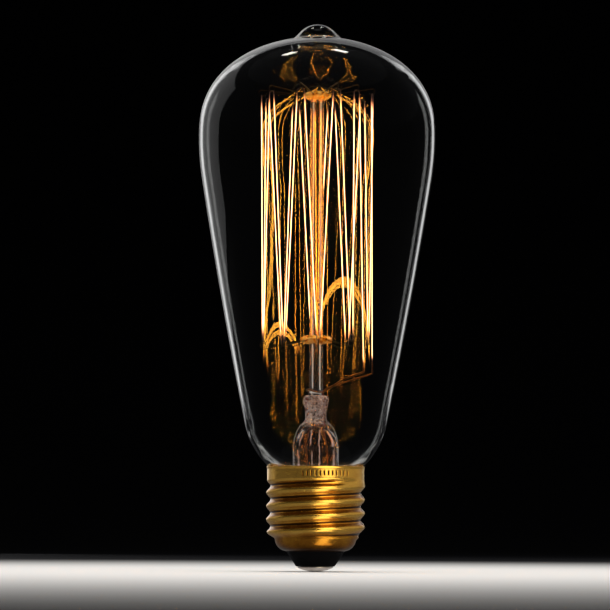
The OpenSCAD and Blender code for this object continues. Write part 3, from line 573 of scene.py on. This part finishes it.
press_top_z, press_lip_r, press_waist_r, press_thickness = 47.2, 3.6, 2.85, 5.0
press_h, press_floor, flare_r, flare_wall = 6.7, 1.6, 6.2, 1.1
flare_bell_h, flare_skirt_h, flare_rim_h = 8.4, 12.0, 1.0
exhaust_d, exhaust_bottom_z, rod_d, seat_gap = 3.6, 10.4, 3.6, 0.05
seal_wire_offset, seal_wire_azimuth, seal_wire_proud = 2.4, 52.0, 0.6

press_bottom_z = press_top_z - press_h
bell_z = press_bottom_z - flare_bell_h * np.sqrt(1 - (press_waist_r / flare_r) ** 2)
hollow_top_z = press_bottom_z - press_floor
hollow_flat_r = exhaust_d / 2 + seat_gap
hollow_r = flare_r - flare_wall
hollow_h = (hollow_top_z - bell_z) / np.sqrt(1 - (hollow_flat_r / hollow_r) ** 2)
flare_foot_r = neck_r - glass_wall - 6 * seat_gap
flare_skirt_z = neck_bottom_z + flare_skirt_h
flare_rim_z = neck_bottom_z - flare_rim_h


def bell(r, h, top_r):
    """The lower part of a quarter ellipse, r wide and h high, from top_r out: (r cos t, h sin t)."""
    t = np.linspace(np.arccos(top_r / r), 0, 40)
    return points_of(r * cos(t), bell_z + h * sin(t))


def widening(r, foot):
    """From r at the top of the skirt to foot at its lower edge: r + (foot - r)(1 - cos 90 t)."""
    t = np.linspace(0, 1, 30)
    return points_of(mix(r, foot, 1 - cos(radians(90 * t))), mix(flare_skirt_z, neck_bottom_z, t))


lip_z, waist_z = press_top_z - 0.15 * press_h, press_top_z - 0.7 * press_h
t = np.linspace(0, 1, 20)
waist = points_of(mix(press_lip_r, press_waist_r, (1 - cos(pi * t)) / 2), mix(lip_z, waist_z, t))
outer_stem = np.vstack([
    [[0, press_top_z], [press_lip_r - 0.5, press_top_z]], waist, bell(flare_r, flare_bell_h, press_waist_r),
    widening(flare_r, flare_foot_r), [[neck_r - 0.02, neck_bottom_z - 0.02], [neck_r - 0.02, flare_rim_z]]])
inner_foot_r = flare_foot_r - flare_wall
inner_stem = np.vstack([
    [[0, hollow_top_z]], bell(hollow_r, hollow_h, hollow_flat_r), widening(hollow_r, inner_foot_r),
    [[inner_foot_r, flare_rim_z]]])[::-1]
outer_stem, inner_stem = rows_of(outer_stem, 0.6, 150), rows_of(inner_stem, 0.5, 90)
grid = turned(np.vstack([outer_stem, inner_stem]), 120)
# Pinched flats: 1 / R^8 = 1 / r^8 + (|cos| / half thickness)^8, which fades out below the pinched part
press_lump, bell_ripple = 0.13, 0.08
radius, height = from_axis(grid), grid[..., 2]
across = np.abs(cos(np.arctan2(grid[..., 1], grid[..., 0]) - radians(seal_wire_azimuth)))
half = press_thickness / 2 - 0.25 + 4 * smooth(press_bottom_z + 0.9, press_bottom_z - 2.6, height)
pinched = (1 / radius ** 8 + (across / half) ** 8) ** (-1 / 8)
is_outside = np.arange(len(grid))[:, None] < len(outer_stem)
shape = np.where(is_outside & (height > bell_z), pinched, radius)
lumps = press_lump * smooth(press_bottom_z - 3, press_bottom_z + 1, height) * smooth(0.4, 2, radius)
ripples = bell_ripple * smooth(press_bottom_z + 1, press_bottom_z - 4, height)
shape = shape + lumps * waviness(grid, 2.6, 11) + ripples * waviness(grid * [1, 1, 0.35], 5.0, 12)
grid[..., :2] *= (shape / radius)[..., None]
pin_poles(grid)
fit("stem", grid, pressed_glass, "stem_glass", "stem_flare")

outline = np.vstack([
    [[0, hollow_top_z - 0.02], [exhaust_d / 2, hollow_top_z - 0.02]],
    arc([0, exhaust_bottom_z + exhaust_d / 2], exhaust_d / 2, 0, -90, 24)])
grid = turned(rows_of(outline, 0.3, 70), 48)
pin_poles(grid)
fit("exhaust_tube_glass", grid, tube_glass, "stem_glass", "exhaust_tube")

# Rod: melted a little wider where it is sealed to the pinched glass and to the upper button
upper_button_z, upper_button_r, upper_button_h = 128.4, 3.45, 2.6
lower_button_z, lower_button_r, lower_button_h = 62.2, 4.2, 2.35
rod_top_z = upper_button_z - upper_button_h / 2
foot_swell, foot_reach, top_swell, top_reach, rod_wave = 0.45, 0.8, 0.25, 0.9, 0.012
z = np.linspace(rod_top_z - 0.02, press_top_z + 0.02, 160)
swell = foot_swell * np.exp(-(z - press_top_z) / foot_reach)
swell += top_swell * np.exp((z - rod_top_z) / top_reach)
outline = np.vstack([[[0, z[0]]], points_of(rod_d / 2 + swell, z), [[0, z[-1]]]])
grid = turned(rows_of(outline, 0.25, 150), 48)
grid[1:-1, :, :2] *= 1 + rod_wave * waviness(grid[1:-1] * [1, 1, 0.25], 4.0, 21)[..., None]
pin_poles(grid)
fit("rod", grid, rod_glass_painted_glow, "stem_glass", "support_rod")


# Buttons and hooks

upper_hooks, lower_hooks = 10, 9
hook_step, first_hook_azimuth = 36.0, 56.0
hook_lean = np.array([-12, 0, -1, -2, -2, 8, 3, 1, -3, -14])
upper_azimuths = first_hook_azimuth - hook_step * np.arange(upper_hooks) + hook_lean
lower_lean = np.array([0, 0, 0, 0, 0, 0, 1.5, 0, 0])
lower_azimuths = first_hook_azimuth - hook_step * (np.arange(lower_hooks) + 0.5) + lower_lean
hook_wire_d, hook_curl_r, hook_embed, hook_gap, curl_open = 0.25, 0.85, 1.0, 0.02, 60
cage_r, filament_d, strand_d = 15.1, 0.3, 0.17
upper_bend_rise, lower_bend_drop, upper_bend_r, lower_bend_r = 0.1, 1.0, 1.0, 0.45
hook_seat = (filament_d + hook_wire_d) / 2 + hook_gap
root_draw, root_draw_angle, root_draw_h, bead_lump, face_lump = 0.45, 5.5, 0.55, 0.12, 0.08


def button(name, outline, azimuths, z, seed, node):
    """A bead of soft glass: the outline turned, made lumpy, and drawn out round each wire's root by
    root_draw exp(-(angle / root_draw_angle)^2 - (height / root_draw_h)^2)."""
    grid = turned(rows_of(outline, 0.35, 90), 144)
    radius = from_axis(grid)
    turn = np.degrees(np.arctan2(grid[..., 0], -grid[..., 1]))
    away = (turn[..., None] - azimuths + 180) % 360 - 180
    drawn = np.exp(-(away / root_draw_angle) ** 2).sum(-1)
    drawn *= np.exp(-((grid[..., 2] - z) / root_draw_h) ** 2)
    drawn *= smooth(0.75, 1.0, radius / radius.max())
    moved = radius + root_draw * drawn + bead_lump * smooth(1, 3, radius) * waviness(grid, 1.9, seed)
    grid[..., :2] *= (moved / radius)[..., None]
    grid[..., 2] += face_lump * smooth(0.2, 2, radius) * waviness(grid, 2.2, seed + 1)
    pin_poles(grid)
    fit(name, grid, bead_glass_painted_light, "stem_glass", node)


def bead_side(r, h, low, squareness):
    """The rounded side of a bead: (r cos^squareness t, h / 2 sin t), from -low to low degrees."""
    t = radians(np.linspace(-low, low, 60))
    return points_of(r * cos(t) ** squareness, h / 2 * sin(t))


side = bead_side(upper_button_r, upper_button_h, -45, 0.5)
outline = np.vstack([
    [[0, upper_button_h / 2], [upper_button_r * 0.5, upper_button_h * 0.46]], side,
    [[rod_d / 2 + 0.3, -upper_button_h / 2], [0, -upper_button_h / 2]]]) + [0, upper_button_z]
button("upper_bead", outline, upper_azimuths, upper_button_z, 31, "upper_button")
side = bead_side(lower_button_r, lower_button_h, -70, 0.35)
outline = np.vstack([
    [[0, lower_button_h / 2]], side, [[0, -lower_button_h / 2]]]) + [0, lower_button_z]
button("lower_bead", outline, lower_azimuths, lower_button_z, 41, "lower_button")

# A straight shank from the root to a curl, tangent to it, in the plane of Z. Lower hooks are turned over
for row, azimuths, button_r, z, bend_rise, way_up in (
        ("upper", upper_azimuths, upper_button_r, upper_button_z, upper_bend_rise, 1),
        ("lower", lower_azimuths, lower_button_r, lower_button_z, lower_bend_drop, -1)):
    root_r, rise = button_r - hook_embed, bend_rise - hook_seat + hook_curl_r
    run = cage_r - root_r
    lean = np.degrees(np.arctan(rise / run) + np.arcsin(hook_curl_r / np.hypot(run, rise)))
    curl = arc([cage_r, rise], hook_curl_r, 90 + lean, -90 - curl_open, 40)
    line = even(np.vstack([[[root_r, 0]], curl]), 0.12)
    for i, azimuth in enumerate(azimuths, 1):
        wire(f"{row}_wire_{i}", at(azimuth, line[:, 0], z + way_up * line[:, 1]), hook_wire_d / 2, 10,
             at(azimuth, 0.0, 0.0, 1.0), molybdenum, "hook_wire", f"{row}_hook_{i}")


# Filament and leads

filament_top_z = upper_button_z + upper_bend_rise
filament_bottom_z = lower_button_z - lower_bend_drop
front_azimuth, front_z, side_azimuth, side_z = 56.0, 54.7, 84.0, 55.9
a = radians(np.linspace(0, 180, 25))
over = at(upper_azimuths[:, None], cage_r, filament_top_z - upper_bend_r * (1 - sin(a)),
          upper_bend_r * cos(a))
under = at(lower_azimuths[:, None], cage_r, filament_bottom_z + lower_bend_r * (1 - sin(a)),
           lower_bend_r * cos(a))
zigzag = np.vstack([np.stack([over[:-1], under], 1).reshape(-1, 3), over[-1]])
ends = at([front_azimuth, side_azimuth], cage_r, [front_z, side_z])
path = even(np.vstack([ends[:1], zigzag, ends[1:]]), 0.3)
grid, along = swept(path, strand_d / 2, 8, path * [1, 1, 0])
# Warmth: the least of 1 - exp(-(d / reach)^2) over the hooks and leads, with d the distance to each
hook_reach, lead_reach = 2.8, 1.2
coolers = np.vstack([
    at(upper_azimuths, cage_r, filament_top_z), at(lower_azimuths, cage_r, filament_bottom_z), ends])
reach = np.array([hook_reach] * (upper_hooks + lower_hooks) + [lead_reach] * 2)
warmth = (1 - np.exp(-((grid.mean(1)[:, None] - coolers) ** 2).sum(-1) / reach ** 2)).min(1)[:, None]
fit("strand", grid, strand_glow, "filament_glow", "filament", lengthwise=along, warmth=warmth)

lead_d, outer_lead_d, lead_gap, crimp_h = 0.45, 0.28, 0.4, 1.6
seal_top_z, seal_bottom_z = press_top_z + seal_wire_proud, hollow_top_z - seal_wire_proud
wrap_r = rod_d / 2 + lead_d / 2 + lead_gap
left, right = seal_wire_azimuth - 180, seal_wire_azimuth
left_path = through([
    (left, seal_wire_offset, seal_top_z), (left, seal_wire_offset, seal_top_z + 0.3),
    (left + 30, wrap_r, seal_top_z + 0.8), (left + 80, wrap_r + 0.1, seal_top_z + 0.9),
    (left + 128, wrap_r + 0.3, seal_top_z + 0.3),
    (left + 165, wrap_r + 0.8, seal_top_z + 0.3),
    (left + 177, wrap_r + 2.4, seal_top_z + 1.3),
    (front_azimuth, 0.6 * cage_r, mix(seal_top_z, front_z, 0.52)),
    (front_azimuth, cage_r - 0.3, front_z - crimp_h),
    (front_azimuth, cage_r, front_z - crimp_h + 0.5),
    (front_azimuth, cage_r, front_z - seat_gap)], 14)
right_path = through([
    (right, seal_wire_offset, seal_top_z),
    (right, seal_wire_offset, seal_top_z + 0.3),
    (right + 13, seal_wire_offset + 1.6, seal_top_z + 1.6),
    (side_azimuth, 0.6 * cage_r, mix(seal_top_z, side_z, 0.42)),
    (side_azimuth, cage_r - 0.4, side_z - 2 * crimp_h + 0.2),
    (side_azimuth, cage_r, side_z - 2 * crimp_h + 1),
    (side_azimuth, cage_r, side_z - seat_gap)], 14)
for side, azimuth, path in (("left", left, left_path), ("right", right, right_path)):
    wire(f"{side}_lead", even(path, 0.18), lead_d / 2, 12, (0.21, 0.64, 0.74), nickel, "lead_wire",
         f"inner_lead_{side}")
    line = at(azimuth, seal_wire_offset, np.linspace(seal_bottom_z, seal_top_z, 40))
    beaded_r = lead_d / 2 * (1 + 0.1 * waviness(line, 1.5, 51))
    wire(f"{side}_seal", line, beaded_r, 14, (1.0, 0, 0), borated_wire, "seal_wire", f"seal_wire_{side}")

skirt_r, skirt_z, rim_flare, rim_flare_h, sheet = 13.0, 24.9, 0.2, 0.7, 0.3
crest_r, thread_root_r, pitch, crest_z = 13.2, 12.1, 3.629, 15.59
bottom_bend_z, bottom_bend_r, bottom_r = 8.8, 3.4, 10.9
nick_h = 0.9
insulator_r, insulator_top_z = 7.8, 7.6
contact_r, contact_h, contact_dome_h = 4.8, 1.3, 1.0
contact_tube_r, contact_tube_z, land_r = 1.3, 3.5, 1.6
solder_r, solder_h, plug_r, bead_r, bead_proud = 2.5, 0.55, 0.4, 0.6, 0.25

back = 180.0
side_lead_r = (neck_r + thread_root_r - sheet) / 2
plug_z = rim_z - nick_h + plug_r
plug_inner_y = skirt_r - sheet - 0.2
centre_path = through([
    (left, seal_wire_offset, seal_bottom_z),
    (left, seal_wire_offset, seal_bottom_z - 0.6),
    (left, 3.4, seal_bottom_z - 5), (left, 3.4, mix(exhaust_bottom_z, seal_bottom_z, 0.5)),
    (left, 3.3, exhaust_bottom_z + 4), (left, 2.3, exhaust_bottom_z + 0.2),
    (left, 0.6, exhaust_bottom_z - 1.7), (0, 0, insulator_top_z - 0.4), (0, 0, contact_tube_z),
    (0, 0, solder_h)], 12)
side_path = through([
    (right, seal_wire_offset, seal_bottom_z),
    (right, seal_wire_offset, seal_bottom_z - 0.6),
    (right + 5, 3.4, seal_bottom_z - 5),
    (right + 25, 3.4, mix(exhaust_bottom_z, seal_bottom_z, 0.45)),
    (right + 70, 3.9, flare_rim_z + 5), (back - 22, 6.6, flare_rim_z + 0.2),
    (back, neck_r - 1.2, flare_rim_z - 1.3), (back, side_lead_r - 0.1, flare_rim_z - 1),
    (back, side_lead_r, flare_rim_z + 0.6), (back, side_lead_r, mix(flare_rim_z, neck_centre[1], 0.5)),
    (back, side_lead_r, neck_centre[1] - 1), (back, side_lead_r + 0.45, neck_centre[1] + 0.8),
    (back, plug_inner_y - 0.2, plug_z - 0.05), (back, plug_inner_y, plug_z)], 12)
for name, path, node in (("contact_lead", centre_path, "outer_lead_centre"),
                         ("rim_lead", side_path, "outer_lead_side")):
    wire(name, even(path, 0.2), outer_lead_d / 2, 10, (0.83, 0.11, 0.55), copper, "copper_lead", node)


# Screw cap

bottom_centre_r = bottom_r - bottom_bend_r
lip_r = insulator_r + 2 * seat_gap
lip_angle = np.arccos((lip_r - bottom_centre_r) / bottom_bend_r)
shell_bottom_z = bottom_bend_z - bottom_bend_r * sin(lip_angle)


def thread_wave(turn, z):
    """(1 + cos(360 (z - crest) / pitch - turn)) / 2, so 1 at a crest and 0 in a root. Above its last turn
    the root fades out on the +X side, where the thread runs into the skirt."""
    wave = (1 + cos(2 * pi * (z - crest_z) / pitch - turn)) / 2
    azimuth = azimuth_of(turn)
    last_crest = crest_z + pitch * (2 + (azimuth - 90) / 360)
    return mix(wave, 1, smooth(15, 70, azimuth) * (z > last_crest))


def barrel_r(turn, z):
    """The rounded bottom, then the roots, plus the crests' height times the thread's wave, blended into
    the plain skirt and its flared rim."""
    low = bottom_centre_r + np.sqrt(np.maximum(bottom_bend_r ** 2 - (bottom_bend_z - z) ** 2, 0))
    roots = mix(bottom_r, thread_root_r, smooth(bottom_bend_z, bottom_bend_z + 2, z))
    depth = smooth(bottom_bend_z - 0.6, bottom_bend_z + 0.6, z) * (crest_r - thread_root_r)
    threaded = np.where(z < bottom_bend_z, low, roots) + depth * thread_wave(turn, z)
    skirt = skirt_r + rim_flare * smooth(rim_z - rim_flare_h, rim_z, z)
    return mix(threaded, skirt, smooth(skirt_z - 1.6, skirt_z, z))


stroke_step, stroke_z, stroke_depth, first_stroke, last_stroke = 1.15, 26.15, 0.09, -18, 44
skirt_wave = 0.03


def marks(turn, z):
    """A plain row of short upright strokes, punched in the front of the skirt: 1 where one is deep. Each is
    about 0.35 mm wide and 1.35 mm tall, and the row covers 62 degrees."""
    azimuth = azimuth_of(turn)
    stroke = np.abs((radians(azimuth) * skirt_r / stroke_step + 0.5) % 1 - 0.5) * stroke_step
    inside_row = (azimuth > first_stroke) & (azimuth < last_stroke)
    return inside_row * smooth(0.24, 0.1, stroke) * smooth(0.8, 0.55, np.abs(z - stroke_z))


# Columns closer together at the front, for the strokes
turn = radians(np.concatenate([
    np.linspace(-110, -44, 180, endpoint=False), np.linspace(-44, 250, 118, endpoint=False)]))
bend = np.linspace(lip_angle, 0, 16, endpoint=False)
rounded = points_of(bottom_bend_z - bottom_bend_r * sin(bend), bend)
straight_z = np.concatenate([np.linspace(bottom_bend_z, skirt_z, 112, endpoint=False),
                             np.linspace(skirt_z, rim_z - 0.08, 34)])
rows = np.vstack([rounded, points_of(straight_z, 0)])[::-1]
z = rows[:, :1]
# The strokes are cut into the skirt, and darkened in the finish with painted shade
stamped = marks(turn, z)
skin = around(skirt_r, turn, z)
outer_r = barrel_r(turn, z) - stroke_depth * stamped + skirt_wave * waviness(skin, 5.0, 61)
outer = around(outer_r, turn, z)
inner_z, inner_bend = np.hsplit(rows[::-1][::2], 2)
inner_r = barrel_r(turn, inner_z) - sheet * cos(inner_bend)
inner = around(inner_r, turn, inner_z + sheet * sin(inner_bend))


def rounded_edge(start, end, push, steps=5):
    """Rows from start to end, pushed out along a half ellipse: middle + half cos t + push sin t. It makes
    the sheet's cut edge round."""
    t = radians(np.linspace(0, 180, steps + 2))[1:-1, None, None]
    middle, half = (start + end) / 2, (start - end) / 2
    return middle + half * cos(t) + push * sin(t)


up = np.array([0, 0, 0.4 * sheet])
top_edge, bottom_edge = rounded_edge(inner[-1], outer[0], up), rounded_edge(outer[-1], inner[0], -up)
grid = np.vstack([top_edge, outer, bottom_edge, inner])
# Painted shade: full in the strokes, and on the thread on the flanks that face up and in the roots
flank_painted_shade, root_painted_shade = 0.6, 0.85
painted_shade_mask = np.zeros(grid.shape[:2])
slope = np.gradient(outer_r, axis=0) / np.gradient(z, axis=0)
on_thread = smooth(bottom_bend_z, bottom_bend_z + 1.5, z) * smooth(skirt_z, skirt_z - 0.8, z)
on_flanks, in_roots = smooth(0.5, 0.9, -slope), smooth(0.1, 0.02, thread_wave(turn, z))
painted_shade = on_thread * np.maximum(flank_painted_shade * on_flanks, root_painted_shade * in_roots)
painted_shade_mask[len(top_edge):len(top_edge) + len(outer)] = np.maximum(stamped, painted_shade)
cap = fit("screw_shell", grid, brass, "cap_brass", "cap_shell", ring=True, stamped=painted_shade_mask)

fit_r = bottom_bend_r - sheet - seat_gap
low = np.degrees(np.arccos((insulator_r - bottom_centre_r) / fit_r))
high = np.degrees(np.arcsin((bottom_bend_z - insulator_top_z) / fit_r))
hole_r = outer_lead_d / 2 + lead_gap
outline = np.vstack([
    [[hole_r, insulator_top_z]], arc([bottom_centre_r, bottom_bend_z], fit_r, -high, -low, 24),
    [[insulator_r, shell_bottom_z - 0.05], [contact_r + 0.35, contact_h + 0.05],
     [contact_tube_r, contact_h + 0.02], [contact_tube_r, contact_tube_z], [hole_r, contact_tube_z]]])
grid = turned(rows_of(outline, 0.3, 130, ring=True), 128)
radius = from_axis(grid)
cast_sink, cast_wave = 0.05, 0.06
seen = smooth(contact_r - 0.2, contact_r + 0.6, radius)
seen *= smooth(insulator_r + 0.2, insulator_r - 0.4, radius)
grid[..., 2] -= seen * (cast_sink + cast_wave * waviness(grid, 4.0, 71))
insulator = fit("black_insulator", grid, black_glass, "black_glass", "cap_insulator", ring=True)


def contact_face(r):
    """The dome of the contact: from 0 at the land's edge to contact_dome_h at the plate's, as r squared."""
    return contact_dome_h * (r ** 2 - land_r ** 2) / (contact_r ** 2 - land_r ** 2)


r = np.linspace(contact_r, solder_r, 40)
outline = np.vstack([
    [[contact_tube_r, contact_tube_z], [contact_tube_r, contact_h], [contact_r - 0.05, contact_h]],
    points_of(r, contact_face(r)),
    [[solder_r, solder_h], [contact_tube_r - sheet, solder_h], [contact_tube_r - sheet, contact_tube_z]]])
grid = turned(rows_of(outline, 0.16, 120, ring=True), 120)
plate = fit("contact_disc", grid, contact_plate, "contact_metal", "centre_contact", ring=True)

r = np.linspace(solder_r - 0.03, land_r, 24)
outline = np.vstack([
    [[0, solder_h - 0.02], [solder_r - 0.03, solder_h - 0.02]], points_of(r, contact_face(r)), [[0, 0]]])
grid = turned(rows_of(outline, 0.16, 70), 96)
solder_lump, solder_face_z = 0.05, 0.35
lumps = smooth(0.3, 1.2, from_axis(grid)) * (1 + waviness(grid, 1.1, 81))
grid[..., 2] += solder_lump * lumps * (grid[..., 2] < solder_face_z)
pin_poles(grid)
fit("contact_solder", grid, solder, "solder", "centre_solder")

# The bead on the rim: half an ellipsoid on the skirt, and its plug through the nick
t, p = radians(np.linspace(0, 90, 20))[:, None], np.arange(40)[None] * 2 * pi / 40
spread = bead_r * sin(t) * (1 + 0.1 * sin(3 * p + 1))
bead_x, bead_z = 0.95 * spread * cos(p), plug_z + 0.6 * spread * sin(p)
bead = points_of(bead_x, skirt_r - 0.02 + bead_proud * cos(t), bead_z)
bead[0] = bead[0].mean(0)
plug_y = np.linspace(skirt_r - 0.04, plug_inner_y, 6)[:, None]
plug = points_of(plug_r * cos(p), plug_y, plug_z + plug_r * sin(p))
end = points_of(0 * p, plug_inner_y, plug_z)
fit("rim_bead", np.vstack([bead, plug, end]), solder, "solder", "rim_solder")

cement_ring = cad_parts["capping_cement"]
cement_ring.data.materials.clear()
cement_ring.data.materials.append(cement)


# Studio: a pale bowl whose floor is flat, so that it closes off every side

bowl_line = np.vstack([
    points_of(np.linspace(0, 1700, 18), -0.1), arc([1700, 1199.9], 1200, -90, 0, 40)[1:], [[2900, 3200]]])
bowl = surface("studio_bowl", turned(bowl_line[::-1], 96), studio_paper())
bowl.visible_glossy = False


def lamp(name, azimuths, elevations, radiance, code="FFFFFF", in_gloss=True, through_glass=True,
         only_on=()):
    """A soft box 900 mm away that fills a range of azimuths and elevations, seen from the bulb's middle,
    and faces it. Its power is the radiance times pi and its area. The camera doesn't see it."""
    distance = 900 * MM
    light = bpy.data.lights.new(name, "AREA")
    light.shape = "RECTANGLE"
    light.size, light.size_y = (
        2 * distance * np.tan(radians(np.ptp(span) / 2)) for span in (azimuths, elevations))
    light.energy = radiance * pi * light.size * light.size_y
    light.color = colour(code)[:3]
    box = bpy.data.objects.new(name, light)
    a, e = radians([np.mean(azimuths), np.mean(elevations)])
    away = Vector((sin(a) * cos(e), -cos(a) * cos(e), sin(e)))
    box.location = Vector((0, 0, 74 * MM)) + away * distance
    box.rotation_euler = away.to_track_quat("Z", "Y").to_euler()
    box.visible_camera = False
    box.visible_glossy, box.visible_transmission = in_gloss, through_glass
    if only_on:
        receivers = bpy.data.collections.new(name + "_receivers")
        for piece in only_on:
            receivers.objects.link(piece)
        box.light_linking.receiver_collection = receivers
    bpy.context.scene.collection.objects.link(box)
    return box


on_cap = [cap, insulator, plate]
lamp("left_box", (-174, -110), (-4, 42), 0.3, through_glass=False)
lamp("left_edge", (-160, -149), (-4.4, 38), 0.65)
lamp("right_edge", (149, 160), (-4.4, 38), 0.6)
lamp("back_top_box", (155, 205), (12, 45), 0.35, through_glass=False)
lamp("back_left_window", (-155, -149), (63, 67), 8.0, through_glass=False)
lamp("back_right_window", (159, 165), (60, 64), 8.0, through_glass=False)
lamp("cap_left_rim_box", (-178, -162), (-4, 30), 1.2, only_on=on_cap)
lamp("cap_right_rim_box", (172, 178), (-4, 30), 2.0, only_on=on_cap)
lamp("cap_key", (14, 48), (-4, 64), 2.6, "FFEFC8", only_on=on_cap)
lamp("cap_fill", (48, 145), (-4, 50), 0.32, "FFF4E2", only_on=on_cap)
lamp("cap_left_fill", (-125, -50), (-4, 20), 0.06, "FFF4E2", only_on=on_cap)
lamp("floor_wash", (-30, 30), (62, 110), 5.0, in_gloss=False, through_glass=False)
for name, radiance, piece in (("floor_bounce", 0.16, cap), ("contact_bounce", 0.6, plate)):
    bounce = lamp(name, (-38, 38), (52, 128), radiance, "F4EFE8", only_on=[piece])
    bounce.location, bounce.rotation_euler = (0, 0, -0.05 * MM), (pi, 0, 0)
for name, half_width, half_length, azimuth, reach in (
        ("near_sheen", 0.35, 0.65, 18, 24), ("far_sheen", 1.5, 3.2, 28, 84)):
    spans = (-half_width, half_width), (90 - half_length, 90 + half_length)
    sheen = lamp(name, *spans, 2.0, "FFEFC8", only_on=[cap])
    sheen.location = at(azimuth, reach, -0.04) * MM
    sheen.rotation_euler = (pi, 0, radians(azimuth))

world = bpy.data.worlds.new("studio_air")
world.use_nodes = True
air = world.node_tree.nodes["Background"].inputs
air["Color"].default_value = colour("E8E8EA")
air["Strength"].default_value = 0.02
bpy.context.scene.world = world

camera_reach, camera_height, tilt, yaw, roll = 900, 8, 4.0385, -0.1967, 0.2776
camera_data = bpy.data.cameras.new("camera")
camera_data.sensor_width, camera_data.lens = 36, 197.64
camera_data.clip_start, camera_data.clip_end = 0.05, 20
camera = bpy.data.objects.new("camera", camera_data)
bpy.context.scene.collection.objects.link(camera)
camera.location = (0, -camera_reach * MM, camera_height * MM)
turns = (0, 0, -yaw), (90 + tilt, 0, 0), (0, 0, roll)
about_z, up_again, about_view = (Euler(radians(turn)).to_matrix() for turn in turns)
camera.rotation_euler = (about_z @ up_again @ about_view).to_euler()
bpy.context.scene.camera = camera
bpy.context.scene.view_settings.view_transform = "Standard"
